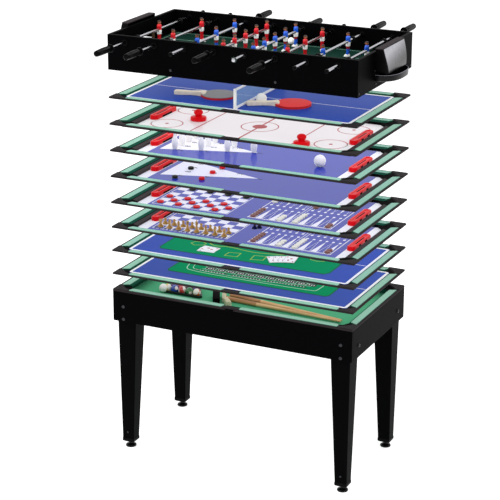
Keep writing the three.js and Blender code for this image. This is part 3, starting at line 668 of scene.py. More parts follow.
def rim(top, low):
    """The dark strip round the rail: a flat section with a rounded outer edge, and a step down behind the cloth,
    carried round a rectangle."""
    z = -RIM_DROP
    section = (
        (0.4, low), (0, low + 0.6), (0, z - 0.9), (0.3, z - 0.2), (1, z), (10.4, z), (10.4, -POCKET_DROP),
        (8, -POCKET_DROP), (8, low),
    )
    inset, height = np.array(section, float).T
    flat = np.array(CORNERS, float)[:, None] * (np.array([LENGTH, WIDTH]) - inset[None, :, None])
    rings = np.concatenate([flat, np.broadcast_to(height[None, :, None] + top, (4, len(inset), 1))], -1)
    return tube(rings, closed=True)


CORNER_CAP = np.array([[0, 0], [80, 0], [80, 20], [60, 25], [27, 56], [21, 68], [0, 68]], float)
SIDE_CAP = np.array([[-45, 0], [45, 0], [45, 20], [38, 26], [-38, 26], [-45, 20]], float)
PLATE_RISE = 1.8


def chamfered(outline, low, high, step=2.0):
    """An outline raised in rings, drawn in over the last step so that its top edge slopes."""
    outline = np.asarray(outline, float)
    middle = outline.mean(0)
    reach = np.linalg.norm(outline - middle, axis=1, keepdims=True)
    inner = middle + (outline - middle) * (1 - step / reach)
    rings = np.zeros((3, len(outline), 3))
    rings[:2, :, :2], rings[2, :, :2] = outline, inner
    rings[:, :, 2] = np.array([low, high - step * 0.6, high])[:, None]
    return tube(rings)


def in_corner(part, sx, sy):
    """A part drawn from a corner's own two edges, put at one of the table's corners."""
    points = (LENGTH, WIDTH, 0) - part[0] * (1, 1, -1)
    return points * (sx, sy, 1), part[1]


def caps(top, low):
    """Four corner plates and two side plates, each with a raised rib and a black pocket floor behind it."""
    skin = Skin()
    plate_top, rib_low, floor_low = top + PLATE_RISE, top + PLATE_RISE - 0.2, top - POCKET_DROP
    plate = chamfered(np.concatenate([[(0.4, 2), (2, 0.4)], softened(CORNER_CAP[1:], 1)]), top + low, plate_top)
    rib = chamfered(softened(CORNER_CAP * 0.55 + 7, 1, True), rib_low, top + 2.2, 0.8)
    floor = slab([[14, 14], [96, 14], [96, 53], [70, 60], [53, 92], [14, 92]], floor_low, floor_low + 2)
    for sx, sy in CORNERS:
        for part, paint in ((plate, 0), (rib, 0), (floor, 1)):
            skin.add(in_corner(part, sx, sy), paint)
    plate = chamfered(softened(SIDE_CAP, 1, True), top + low, plate_top)
    rib = chamfered(softened(SIDE_CAP * (0.8, 0.5) + (0, 6), 1, True), rib_low, top + 2.4, 0.8)
    floor = slab([[-44, 18], [44, 18], [36, 54], [-36, 54]], floor_low, floor_low + 2.2)
    for sign in (-1, 1):
        for part, paint in ((plate, 0), (rib, 0), (floor, 1)):
            skin.add(((part[0] * (1, -1, 1) + (0, WIDTH, 0)) * (1, sign, 1), part[1]), paint)
    return skin


def build_rail(layer):
    """A rail: rim, six cushions, and six caps."""
    top, body, node = TOPS[layer], BODIES[layer], f"{layer}_rail"
    low = -10 if layer == "base" else -7
    # The cloth on top, and two darker copies of it that are painted shade.
    cloth = ["cushion", "cushion_side", "cushion_face"]
    piece(f"{layer}_rim", rim(top, low), "rim", body, node)
    piece(f"{layer}_cushions", cushions(top), cloth, body, node, sharp=30)
    piece(f"{layer}_caps", caps(top, low), ["cap", "pocket"], body, node, sharp=25)


# Boards


FIELD_X, FIELD_Y = LENGTH - 55.3, WIDTH - 55.3
CUT = 8


def cut_rectangle(x, y, cut):
    """A rectangle's outline with its four corners cut off."""
    a, b = x - cut, y - cut
    return np.array([[-a, -y], [a, -y], [x, -b], [x, b], [a, y], [-a, y], [-x, b], [-x, -b]], float)


def build_flush(layer):
    """A blue board: black plate, blue field with cut corners, white border and middle line."""
    top, body, node = TOPS[layer] - FLUSH_DROP, BODIES[layer], f"{layer}_board"
    piece(f"{layer}_plate", panel_block(30, top - 7, top - 4.3), "pocket", body, node)
    field = slab(cut_rectangle(FIELD_X, FIELD_Y, CUT), top - 4.5, top)
    piece(f"{layer}_field", field, "blue_print", body, node)
    low, high = top - 0.2, top + sizes("print_height")
    border, middle = sizes("border"), sizes("middle")
    lines = Skin()
    lines.add(line(cut_rectangle(FIELD_X - border / 2, FIELD_Y - border / 2, CUT), border, low, high, closed=True))
    lines.add(block((-FIELD_X + 15, -middle / 2, low), (FIELD_X - 15, middle / 2, high - 0.05)))
    piece(f"{layer}_lines", lines, "white_ink", body, node)


WALL_INSET = 51
LEDGE = (528.5, 553.5)
LEDGE_DROP = 10.6
ZONE = (477, 528.6)
GOAL_CENTRE = 502


def spanned(sign, near, far):
    """Two distances from the middle, on one side of it, lowest first."""
    return sorted((sign * near, sign * far))


def on_board(layer):
    """A recessed board's body, its node and the height of its floor."""
    return BODIES[layer], f"{layer}_board", TOPS[layer] - FLOOR_DROP


def build_recessed(layer):
    """A recessed board: floor plate, four low walls with the corners cut, and a dark ledge along each short wall."""
    body, node, floor = on_board(layer)
    top, wall_top = TOPS[layer], TOPS[layer] - POCKET_DROP
    x, y = LENGTH - WALL_INSET, WIDTH - WALL_INSET
    plate = block((-x, -y, floor - 1.4), (x, y, floor))
    print_color = "white" if layer == "hockey" else "violet"
    piece(f"{layer}_field", plate, f"{print_color}_print", body, node)
    walls = Skin()
    for sign in (-1, 1):
        low, high = spanned(sign, y + 8, y - 4)
        walls.add(block((-x - 8, low, floor - 0.1), (x + 8, high, wall_top)), 1)
        low, high = spanned(sign, x + 7.9, LEDGE[1])
        walls.add(block((low, -y + 3, floor - 0.2), (high, y - 3, wall_top)), 1)
        low, high = spanned(sign, LEDGE[0], LEDGE[1] + 0.3)
        walls.add(block((low, -y + 3.5, floor - 0.15), (high, y - 3.5, top - LEDGE_DROP)), 0)
    for corner in CORNERS:
        outline = np.array([[x - 4, y - 4], [x - 4, y - 56], [LEDGE[0] - 4, y - 40], [x - 70, y - 4]]) * corner
        walls.add(slab(outline, floor - 0.05, top - 10.4), 1)
    piece(f"{layer}_walls", walls, ["ledge", "pocket"], body, node)


def goal_block():
    """A goal: a stadium outline raised with a rounded top edge, and a channel sunk along its top."""
    rows = (
        (21, 108, 0), (21, 108, 14), (20, 107, 17.5), (17.5, 104.5, 19.6), (12, 99, 19.8), (8.5, 95, 19.4),
        (7.4, 94, 15.2),
    )
    rings = [np.column_stack([oblong(a, b, a * 0.96, 7), np.full(28, z)]) for a, b, z in rows]
    return tube(np.array(rings))


def build_goals(layer):
    """Two red goals with a dark slot on top, a mouth towards the field and two notches behind, each on a white end
    zone."""
    body, node, floor = on_board(layer)
    goals, zones = Skin(), Skin()
    slot = slab(oblong(3.2, 52, 3, 4, (1, 8)), 15.1, 15.5)
    mouth = block((-21.5, -48, 0.6), (-20.6, 48, 9.5))
    notches = [block((12, y - 13, 3), (21.4, y + 13, 15)) for y in (-38, 34)]
    for sign in (-1, 1):
        for count, part in enumerate((goal_block(), slot, mouth, *notches)):
            goals.add(turned(part, 0 if sign > 0 else 180), min(count, 1), (sign * GOAL_CENTRE, 0, floor + 0.2))
        zone = rectangle((ZONE[0], -FIELD_Y + 4), (ZONE[1], FIELD_Y - 4)) * (sign, 1)
        zones.add(slab(zone, *print_levels(floor)))
    piece(f"{layer}_goals", goals, ["red_plastic", "pocket"], body, node, sharp=40)
    piece(f"{layer}_ends", zones, "white_ink", body, node, sharp=40)


# Pieces that stand or lie on the boards


SQUARE = 47.5
SQUARES_X = -0.439 * LENGTH
POINTS_X = 0.385 * LENGTH
BOARD_HALF = 190
POINT_STEP = 32.4
BAR_HALF = 7
TEAM_ROWS = {"red": range(0, 3), "black": range(5, 8)}


def square_at(column, row):
    """The middle of a square, counted from the front left."""
    return (SQUARES_X + (column - 3.5) * SQUARE, (row - 3.5) * SQUARE)


def build_squares(layer):
    """The squared half: pale squares of every second place inside a thin white frame. The chess board has two
    navy ovals on each square of its front row: painted reflections of the men that stand there."""
    body, node, floor = on_board(layer)
    low, high = print_levels(floor)
    half = SQUARE / 2 - 0.6
    places = [square_at(c, r) for c in range(8) for r in range(8) if (c + r) % 2]
    pale = Skin().add(copies(block((-half, -half, low), (half, half, high)), places))
    reach = 4 * SQUARE + 5
    edge = rectangle((SQUARES_X - reach, -BOARD_HALF - 5), (SQUARES_X + reach, BOARD_HALF + 5))
    pale.add(line(edge, 3, low, high, closed=True))
    piece(f"{layer}_squares", pale, "white_ink", body, node)
    if layer == "chess":
        # Painted reflection: dark ovals where the front row's men would be mirrored in the glossy board.
        beside = ((-13, 1), (9, -1))
        spots = [(square_at(c, 0)[0] + dx, -BOARD_HALF + 7 + dy, 0) for c in range(8) for dx, dy in beside]
        marks = copies(slab(arc(1, steps=16) * (8, 14), low, high + 0.1), spots)
        piece(f"{layer}_marks", marks, "navy_ink", body, node)


def build_points(layer):
    """The backgammon half: twelve points from each long side, filled and outlined in turn, with an oval on every
    tip, inside a white frame and beside a middle bar."""
    body, node, floor = on_board(layer)
    low, high = print_levels(floor)
    skin = Skin()
    edge = rectangle((POINTS_X - 205, -BOARD_HALF), (POINTS_X + 205, BOARD_HALF))
    skin.add(line(edge, 4, low, high, closed=True))
    for x in (POINTS_X - BAR_HALF, POINTS_X + BAR_HALF):
        skin.add(line([(x, -BOARD_HALF), (x, BOARD_HALF)], 2.5, low, high))
    oval = arc(1, steps=20) * (6.5, 9)
    for k in range(12):
        x = POINTS_X + (k - 5.5) * POINT_STEP + (-BAR_HALF if k < 6 else BAR_HALF)
        for side in (-1, 1):
            base, tip = side * (BOARD_HALF - 4), side * 36
            outline = np.array([(x - 14.5, base), (x + 14.5, base), (x, tip)])[::-side]
            filled = (k + (side > 0)) % 2
            skin.add(slab(outline, low, high) if filled else line(outline, 2.2, low, high, closed=True))
            skin.add(slab(oval + (x, tip - side * 10), low, high))
    piece(f"{layer}_points", skin, "white_ink", body, node)


DISC = (
    (0.2, 0), (14.6, 0), (15.8, 0.8), (16.2, 2.4), (16.2, 5.6), (15.6, 7.6), (14.2, 8.3), (11.6, 8.3), (11, 7.2),
    (8.6, 7.2), (8, 7.9), (0.2, 7.9),
)
DRAUGHTSMAN, COUNTER = 1.04, 0.84


def build_draughtsmen():
    """Both sides at the start of a game, on the dark squares."""
    body, node, floor = on_board("draughts")
    floor += STANDING
    disc = lathe([(r * DRAUGHTSMAN, h) for r, h in DISC], 24)
    for team, rows in TEAM_ROWS.items():
        places = [(*square_at(c, r), floor) for r in rows for c in range(8) if (c + r) % 2 == 0]
        piece(f"draughts_{team}_men", copies(disc, places), f"draught_{team}", body, node, sharp=40)


# Backgammon pieces of a colour: the point, counted from the middle bar, the long side, and how many lie there.
STACKS = {
    "brown": ((-6, -1, 5), (6, -1, 2), (1, 1, 5)),
    "cream": ((-2, -1, 3), (1, -1, 5), (-6, 1, 5), (6, 1, 2)),
}
COUNTER_STEP = 27


def build_stacks(layer):
    """Rows of backgammon pieces that lie side by side from the board's edge towards its middle."""
    body, node, floor = on_board(layer)
    disc = lathe([(r * COUNTER, h) for r, h in DISC], 20)
    for kind, rows in STACKS.items():
        places = []
        for point, side, count in rows:
            x = POINTS_X + (point - math.copysign(0.5, point)) * POINT_STEP + math.copysign(BAR_HALF, point)
            places += [(x, side * (BOARD_HALF - 17 - COUNTER_STEP * i), floor) for i in range(count)]
        piece(f"{layer}_{kind}_pieces", copies(disc, places), f"{kind}_piece", body, node, sharp=40)


FOOT_PROFILE = [(0.1, 0), (13.6, 0), (14.4, 1.4), (14.4, 3.4), (12.4, 5.2), (12.2, 6.6), (9.6, 8.2), (7.2, 12)]


HEIGHTS = {"pawn": 30, "rook": 34, "bishop": 42, "queen": 50, "king": 54}


def chessman(kind):
    """A chessman turned from its profile: foot, waist, collar, and a head of its own kind."""
    top = HEIGHTS[kind]
    waist = [(5.2, top * 0.5), (4.6, top * 0.66), (7.6, top * 0.7), (7.6, top * 0.74), (4.8, top * 0.78)]
    t = np.linspace(-0.9, np.pi / 2, 7)
    heads = {
        "pawn": np.stack([6.4 * np.cos(t), top - 6.4 + 6.4 * np.sin(t)], 1),
        "bishop": np.stack([5.6 * np.cos(t), top - 8.4 + 8.4 * np.sin(t)], 1),
        "rook": [(7.4, top * 0.82), (8.2, top - 6), (8.2, top), (5.6, top), (5.4, top - 3), (0.1, top - 3)],
        "queen": [(5.4, top * 0.8), (8, top - 4), (6.4, top - 4.6), (3.2, top - 4), (2.6, top - 1), (0.1, top)],
        "king": [(5.4, top * 0.8), (7.4, top - 5), (6.8, top - 3.6), (3, top - 3), (0.1, top - 3)],
    }
    parts = [lathe([*FOOT_PROFILE, *waist, *np.maximum(heads[kind], (0.1, 0))], 16)]
    if kind == "king":
        parts.append(block((-1.2, -1.2, top - 4), (1.2, 1.2, top + 7)))
        parts.append(block((-3.8, -1.1, top + 1.6), (3.8, 1.1, top + 4.2)))
    if kind == "rook":
        merlon = block((-1.6, -1.4, 0), (1.6, 1.4, 3))
        turns = np.radians(np.arange(0, 360, 60))
        parts += [moved(merlon, (6.6 * math.cos(a), 6.6 * math.sin(a), top - 0.4)) for a in turns]
    return joined(parts)


def knight():
    """A knight: a turned foot and a horse's head cut as a flat outline, swollen in the middle."""
    outline = [
        (-6, 10), (6.5, 10), (6.8, 17), (5, 24), (2.5, 29), (7.5, 27.5), (11.5, 29), (11.8, 33), (6, 37.5),
        (3.5, 41), (1.4, 43.5), (0.6, 40.6), (-4.5, 37.5), (-8, 30), (-8, 20),
    ]
    outline = softened(outline, 2, closed=True)
    middle = outline.mean(0)
    share = np.array([0.8, 1.0, 1.0, 0.8])[:, None, None]
    thick = np.array([-4.6, -2.8, 2.8, 4.6])
    flat = middle + (outline - middle) * share
    rings = np.stack([np.stack([f[:, 0], np.full(len(f), y), f[:, 1]], 1) for f, y in zip(flat, thick)])
    return joined([lathe([*FOOT_PROFILE, (6, 13), (0.1, 13)], 16), tube(rings)])


BACK_ROW = ("rook", "knight", "bishop", "queen", "king", "bishop", "knight", "rook")
TAKEN_MEN = ((-24.7, 1.4), (-8.6, 17.7))


def build_chessmen():
    """Both sides at the start of a game, with two more navy men beside the squares."""
    body, node, floor = on_board("chess")
    floor += STANDING
    kinds = {kind: chessman(kind) for kind in HEIGHTS} | {"knight": knight()}
    for color, back, front, turn, beside in (("gold", 0, 1, 90, ()), ("navy", 7, 6, -90, TAKEN_MEN)):
        skin = Skin()
        for column, kind in enumerate(BACK_ROW):
            skin.add(turned(kinds[kind], turn), 0, (*square_at(column, back), floor))
            skin.add(kinds["pawn"], 0, (*square_at(column, front), floor))
        for place in beside:
            skin.add(kinds["pawn"], 0, (*place, floor))
        piece(f"chess_{color}_men", skin, color, body, node, sharp=40)


PIN = (
    (0.2, 0), (10.4, 0), (11.6, 3), (15.4, 22), (15.8, 33), (13.6, 46), (8.2, 60), (6.4, 68), (6.8, 74), (8.6, 81),
    (8.9, 86), (7.2, 91.5), (4.2, 94.2), (0.2, 95),
)
PIN_TIP = -0.049 * LENGTH
PIN_STEP_X, PIN_STEP_Y = 118, 72
TRIANGLE = ((-450, -136), (-8, 0), (-450, 136))


def build_triangle(layer, body, node, floor):
    """The white triangle. Returns the ten places on it, row by row from its tip."""
    piece(f"{layer}_triangle", slab(TRIANGLE, *print_levels(floor)), "white_ink", body, node)
    return [
        (PIN_TIP - n * PIN_STEP_X, (i - n / 2) * PIN_STEP_Y, floor) for n in range(4) for i in range(n + 1)
    ]


def build_bowling():
    """Ten pins on the white triangle, the ball in front of them, and the numbers of the places."""
    body, node, floor = on_board("bowling")
    places = build_triangle("bowling", body, node, floor)
    pins = copies(lathe(softened(PIN, 1), 24), places)
    piece("bowling_pins", pins, "ivory", body, node, sharp=40)
    ball = moved(lathe(globe(27, 0.01) + (0, 27), 32), (0.552 * LENGTH, -0.248 * WIDTH, floor))
    piece("bowling_ball", ball, "ivory", body, node)
    build_numbers("bowling", places, body, node)


def build_numbers(layer, places, body, node):
    """A printed number beside each place on the triangle."""
    skin = Skin()
    for count, (x, y, floor) in enumerate(places, 1):
        skin.add(digits(str(count), 40, (x + 34, y - 6, print_levels(floor)[1] + 0.2), 90))
    piece(f"{layer}_numbers", skin, "dark_ink", body, node)


def build_shuffle():
    """The same triangle with its numbers, and the pucks on and before it."""
    body, node, floor = on_board("shuffle")
    build_numbers("shuffle", build_triangle("shuffle", body, node, floor), body, node)
    puck = lathe([(0.2, 0), (12.6, 0), (14, 1.4), (14, 9), (12.4, 11.4), (9.6, 12), (8.6, 10.4), (0.2, 10.2)], 28)
    for kind, finish_name, places in (
        ("dark", "draught_black", ((-0.59, 0.01), (-0.59, -0.49))),
        ("red", "draught_red", ((-0.388, -0.39), (-0.388, -0.042), (-0.38, 0.25))),
    ):
        pucks = copies(puck, [(x * LENGTH, y * WIDTH, floor) for x, y in places])
        piece(f"shuffle_{kind}_pucks", pucks, finish_name, body, node, sharp=40)


def digits(text, size, place, turn):
    """Printed digits as a part: text made a mesh, laid flat at a place and turned about Z."""
    curve = bpy.data.curves.new("digits", "FONT")
    curve.body, curve.size, curve.extrude = text, size * MM, 0.12 * MM
    curve.align_x, curve.align_y = "CENTER", "CENTER"
    made = linked("digits", curve)
    graph = bpy.context.evaluated_depsgraph_get()
    mesh = bpy.data.meshes.new_from_object(made.evaluated_get(graph))
    points = np.zeros(len(mesh.vertices) * 3)
    mesh.vertices.foreach_get("co", points)
    faces = [list(face.vertices) for face in mesh.polygons]
    bpy.data.objects.remove(made)
    bpy.data.curves.remove(curve)
    bpy.data.meshes.remove(mesh)
    return moved(turned((points.reshape(-1, 3) / MM, faces), turn), place)


PUSHER = (
    (0.2, 0), (36, 0), (38, 2), (38, 14), (36, 17.5), (29, 18.5), (26, 19.5), (19, 20.5), (15, 22), (15, 25.5),
    (20, 31), (22, 37.5), (20, 44.5), (14, 49.8), (5, 51.6), (0.2, 51.6),
)


def build_hockey():
    """Red rink lines on white, and two pushers with wide two-step feet and a knob."""
    body, node, floor = on_board("hockey")
    low, high = print_levels(floor)
    skin = Skin()
    for x, width in ((0, 9), (-253, 6), (253, 6)):
        skin.add(line([(x, -262), (x, 262)], width, low, high))
    for middle in ((-411, -135), (-411, 135), (411, -135), (411, 135)):
        skin.add(line(arc(74, steps=64, middle=middle), 5, low, high, closed=True))
        skin.add(slab(arc(9, steps=24, middle=middle), low, high))
    skin.add(line(arc(86, steps=64), 5, low, high, closed=True))
    skin.add(slab(arc(34, steps=40), low, high + 0.05))
    piece("hockey_lines", skin, "red_ink", body, node)
    places = [(-0.503 * LENGTH, -0.057 * WIDTH, floor), (0.493 * LENGTH, -0.638 * WIDTH, floor)]
    pushers = copies(lathe(softened(PUSHER, 1), 40), places)
    piece("hockey_pushers", pushers, "red_plastic", body, node)


NET_HEIGHT = 94


def build_net(body, top):
    """The net: white posts with clamps, tapes along its top and foot, and a mesh of fine cords."""
    half = WIDTH - 57
    inner = half - 8
    frame_skin = Skin()
    for side in (-1, 1):
        frame_skin.add(slab(oblong(6, 5, 1.6, 4), 0.2, NET_HEIGHT), 0, (0, side * (half - 4.6), top))
        frame_skin.add(slab(oblong(7.5, 9, 2, 4), 0.2, 9), 0, (0, side * (half - 9.2), top))
    frame_skin.add(strip_across(oblong(2, 5.4, 1.2, 4), inner, top + NET_HEIGHT - 5))
    frame_skin.add(strip_across(oblong(2, 5.6, 1.0, 4), inner, top + 6.2))
    piece("net_frame", frame_skin, "net", body, "net", sharp=40)
    upright = block((-0.45, -0.45, 5), (0.45, 0.45, NET_HEIGHT - 6))
    level = block((-0.4, -inner, -0.45), (0.4, inner, 0.45))
    cords = Skin().add(copies(upright, [(0, y, top) for y in np.linspace(-inner, inner, 90)]))
    cords.add(copies(level, [(0, 0, top + z) for z in np.linspace(14, NET_HEIGHT - 14, 13)]))
    piece("net_mesh", cords, "cord", body, "net")


def strip_across(section, half, height):
    """A flat section of (across, up) carried along Y from one side to the other at a height."""
    rings = np.zeros((2, len(section), 3))
    rings[..., 0], rings[..., 2] = section[:, 0], section[:, 1] + height
    rings[0, :, 1], rings[1, :, 1] = -half, half
    return tube(rings)


def mirrored(half):
    """An outline from one half of it: the half, and its points again with y turned over, in reverse."""
    return softened([*half, *((x, -y) for x, y in half[::-1] if y)], 2, closed=True)


BLADE = mirrored([(0, 13), (12, 17), (26, 42), (52, 73), (92, 83), (134, 75), (166, 46), (181, 0)])
GRIP = mirrored([(-115, 0), (-114, 15), (-105, 16.5), (-70, 14), (-30, 13), (0, 14), (20, 24), (31, 32), (35, 0)])


def domed(outline, low, high, crown):
    """An outline raised in rings whose outer ones are drawn in by a quarter circle: (1 - cos t, sin t)."""
    outline = np.asarray(outline, float)
    t = np.linspace(0, np.pi / 2, 4)
    middle = outline.mean(0)
    reach = np.linalg.norm(outline - middle, axis=1, keepdims=True)
    drawn = crown * (1 - np.cos(t))
    rows = [(d, low + crown - crown * np.sin(a)) for d, a in zip(drawn[::-1], t[::-1])]
    rows += [(d, high - crown + crown * np.sin(a)) for d, a in zip(drawn, t)]
    rings = np.zeros((len(rows), len(outline), 3))
    for k, (d, z) in enumerate(rows):
        rings[k, :, :2] = middle + (outline - middle) * (1 - d / np.maximum(reach, 1e-6))
        rings[k, :, 2] = z
    return tube(rings)


def build_bat(name, joint, turn, face, body, top):
    """A bat: wooden blade between two rubbers with sponge, and a rounded wooden handle along its middle."""
    skin = Skin()
    for part, paint in (
        (slab(BLADE * 0.985 + (1.3, 0), 4.4, 7.6), 1),
        (slab(BLADE * 0.995, 2.4, 4.5), 1),
        (domed(BLADE, 0.3, 2.5, 0.6), 1),
        (slab(BLADE * 0.995, 7.5, 9.6), 1),
        (domed(BLADE, 9.5, 11.8, 0.7), 0),
        (domed(GRIP, 0.4, 19, 5), 2),
    ):
        skin.add(turned(part, turn), paint, (*joint, top))
    piece(name, skin, [face, "sponge", "handle_wood"], body, name, sharp=50)


def build_ball(name, radius, place, body, sides):
    """An ivory ball that touches the height of its place."""
    ball = lathe(globe(radius, 0.002 * radius) + (0, radius), sides)
    piece(name, moved(ball, place), "ivory", body)


# Card mats and cards


def card(width=58, length=88):
    """A card's outline."""
    return oblong(width / 2, length / 2, 5, 4)


def build_mat(layer, outline, body, node, top):
    """A mat of cloth lying on the blue board, its edge bound with a darker line."""
    outline = np.array(outline, float)
    middle = outline.mean(0)
    skin = Skin().add(slab(outline, top + 0.3, top + 1.3), 0)
    skin.add(line(middle + (outline - middle) * 0.992, 3.5, *mat_print(top), closed=True), 1)
    made = piece(f"{layer}_mat", skin, ["mat", "dark_ink"], body, node)


def mat_print(top):
    """The foot and the face of what is printed on a mat."""
    return top + 1.2, top + 1.5


CARDS_MAT = (
    (-425, -190), (410, -190), (430, -165), (430, 150), (360, 225), (-380, 225), (-440, 150), (-440, -170),
)
CRAPS_MAT = (
    (-395, -168), (410, -168), (425, -150), (425, 150), (380, 221), (-360, 221), (-408, 150), (-408, -150),
)
CARD_MARKS = (
    (3.5, [(-329, -60), (-318, -30), (-285, -22), (-260, -35), (-263, -64), (-303, -80)]),
    (3.5, [(258, -7), (273, 16), (318, -2), (343, -28), (318, -41), (280, -33)]),
    (4, [(-107, -153), (-46, -146), (-49, -94), (-106, -104)]),
    (4, [(26, -154), (83, -137), (77, -82), (19, -92)]),
)
CARD_BOW = ((-263, -12), (-206, -55), (-149, -27), (-21, -57), (66, -46), (166, -15), (249, -10))
CARD_PLACES = (
    (-212, -119, 94), (-210, -99, 86), (126, -106, 34), (149, -97, 26), (172, -88, 18), (195, -79, 10),
)
PIPS = ((4, 8, 6, 8), (-19, 30, 4, 6), (19, -30, 4, 6), (-6, -14, 5, 8))


def build_cards(body, node, top):
    """The card mat with its yellow places and two hands of cards."""
    build_mat("cards", CARDS_MAT, body, node, top)
    low, high = mat_print(top)
    marks = Skin().add(line(softened(CARD_BOW, 2), 5, low, high))
    for width, outline in CARD_MARKS:
        marks.add(line(outline, width, low, high, closed=True))
    piece("cards_marks", marks, "yellow_ink", body, node)
    hands = Skin()
    for k, (x, y, turn) in enumerate(CARD_PLACES):
        place = (x, y, high + 0.1 + 0.55 * k)
        hands.add(turned(slab(card(), 0, 0.5), turn), 0, place)
        hands.add(turned(line(card(55, 85), 1.2, 0.3, 0.56, True), turn), 2, place)
        for px, py, wide, tall in PIPS:
            pip = slab(arc(1, steps=10) * (wide, tall) + (px, py), 0.45, 0.57)
            hands.add(turned(pip, turn), 1 if k % 3 else 2, place)
    piece("cards_hands", hands, ["card", "red_ink", "grey_ink"], body, node)


CRAPS_EDGES = (
    (4, [(-300, -130), (330, -130), (350, -110), (350, 150), (330, 170), (-300, 170), (-350, 120), (-350, -80)]),
    (3, [(-280, -108), (300, -108), (312, 148), (-285, 148), (-322, 110), (-322, -68)]),
)


def build_craps(body, node, top):
    """The betting mat: thin lines for its rows and columns, and pale cells with three dark strokes each."""
    build_mat("craps", CRAPS_MAT, body, node, top)
    low, high = mat_print(top)
    skin = Skin()
    for width, outline in CRAPS_EDGES:
        skin.add(line(softened(outline, 2, True), width, low, high, closed=True))
    for y in (-76, -40, 0, 44, 92, 128):
        skin.add(line([(-262, y), (300, y)], 2.6, low, high))
    for x in range(-250, 320, 52):
        skin.add(line([(x, -76), (x, 128)], 2.6, low, high))
    for x in range(-224, 300, 52):
        for y in (-58, -20, 22, 68, 110):
            skin.add(slab(oblong(23, 16, 3, 3, (x, y)), low, high - 0.1), 1)
            for k in range(-1, 2):
                skin.add(slab(oblong(2.6, 6, 1.5, 3, (x + 12 * k, y)), low, high), 2)
    for start, end in ((-290, -120), (-100, 60), (80, 285)):
        skin.add(slab(oblong((end - start) / 2, 7, 3, 3, ((start + end) / 2, -96)), low, high - 0.1), 1)
        for x in np.arange(start + 12, end - 8, 15):
            skin.add(slab(oblong(2.6, 3.5, 1.2, 3, (x, -96)), low, high), 2)
    piece("craps_marks", skin, ["mint_ink", "dark_ink", "white_ink"], body, node)


# The base


APRON = 15.3
LEG_MIDDLE = 53.3


def bolt(radius=8, height=5, sides=20):
    """A round head with a sunk socket, its axis along Z."""
    socket = height - 2.2
    profile = (
        (0.1, -1), (radius, -1), (radius, height * 0.4), (radius * 0.8, height * 0.85), (radius * 0.45, height),
        (radius * 0.4, socket), (0.1, socket),
    )
    return lathe(profile, sides)


def facing(part, side):
    """Turns a part whose axis is Z so that it points to the front, back, left or right."""
    axis, degrees = {"front": ("X", 90), "back": ("X", -90), "left": ("Y", -90), "right": ("Y", 90)}[side]
    return turned(part, degrees, axis)


def build_base():
    """Aprons with the bolts' heads, the bed, the cloth inside the rails and the pockets' cups."""
    for side in ("front", "back", "left", "right"):
        trimmed(f"apron_{side}", f"base_apron_{side}", "laminate", "base", sizes("edge"))
    heads = Skin()
    for x in (-555, 555):
        for z in (738, 675):
            heads.add(facing(bolt(), "front"), 0, (x, -WIDTH, z))
            heads.add(facing(bolt(), "back"), 0, (x, WIDTH, z))
    for side, x in (("left", -LENGTH), ("right", LENGTH)):
        for y in (-242, 242):
            heads.add(facing(bolt(), side), 0, (x, y, 718))
    piece("base_bolts", heads, "bolt", "base")
    piece("base_bed", panel_block(APRON, BED_TOP - 9, BED_TOP), "felt", "base", "pool_bed")
    inside = rectangle((-LENGTH + 18, -WIDTH + 18), (LENGTH - 18, WIDTH - 18))
    # The lining is cloth in the cushions' painted-shade colour.
    piece("base_lining", line(inside, 5, BED_TOP + 0.2, RAIL_LOW[2] - 0.3, True), "cushion_side", "base")
    cup = slab(softened([(16, 16), (84, 16), (60, 60), (16, 84)], 2, True), BED_TOP + 0.2, RAIL_LOW[2] - 0.4)
    cups = Skin()
    for corner in CORNERS:
        cups.add(in_corner(cup, *corner))
    piece("base_pockets", cups, "pocket", "base")


def square_leg(insets):
    """Square rings with cut corners at (near, far, height), measured in from the table's corner."""
    rings, c = [], 4
    for near, far, height in insets:
        flat = (
            (near + c, near), (far - c, near), (far, near + c), (far, far - c), (far - c, far), (near + c, far),
            (near, far - c), (near, near + c),
        )
        rings.append([(x, y, height) for x, y in flat])
    return tube(np.array(rings, float))


LEG = ((23.3, 83.3, 49.6), (15.3, 110.3, 656.7), (15.3, 110.3, 760.7))
BOOT = ((30, 76.6, 28), (22.6, 84, 33), (21.8, 84.8, 35), (21.8, 84.8, 46), (22.6, 84, 48), (23.2, 83.4, 49.5))
FOOT = (
    (0.2, 0), (24.5, 0), (26, 1.4), (26, 6.4), (24, 9), (19, 11.6), (14.5, 13.4), (11.6, 15), (10.4, 17),
    (10.4, 27.4), (0.2, 27.7),
)


def build_legs():
    """Four tapered legs with a moulded boot and a screw each, and four levelling feet."""
    for name, (sx, sy) in zip(("front_left", "front_right", "back_right", "back_left"), CORNERS):
        wood, shoe = (in_corner(square_leg(insets), sx, sy) for insets in (LEG, BOOT))
        node = f"leg_{name}"
        piece(f"{node}_wood", wood, "laminate_upright", "base", node)
        x, y = sx * (LENGTH - LEG_MIDDLE), sy * (WIDTH - LEG_MIDDLE)
        screw = facing(bolt(5, 2.4, 16), "front" if sy < 0 else "back")
        shod = Skin().add(shoe, 0).add(screw, 1, (x, sy * (WIDTH - 22.5), 82))
        piece(f"{node}_boot", shod, ["bearing", "bolt"], "base", node, edge=0.8)
        stem = lathe([(0.1, 27), (6, 27), (6, 56), (0.1, 56)], 20)
        foot = Skin().add(lathe(softened(FOOT, 1), 48), 0, (x, y, 0)).add(stem, 1, (x, y, 0))
        node = f"foot_{name}"
        piece(f"{node}_pad", foot, ["shine", "bolt"], f"levelling_{node}", node)


RACK = np.array([-0.565 * LENGTH, -0.245 * WIDTH, BED_TOP + 0.3])
BALL = 19.4
BALL_STEP = 39
BALL_COLORS = ("E8C21A", "1E3FA8", "C8202A", "5A2A86", "E2701A", "1E7A3E", "7A1F28", "0C0C0E")
BALL_ORDER = (9, 2, 11, 6, 13, 12, 3, 8, 4, 15, 10, 5, 7, 14, 1)


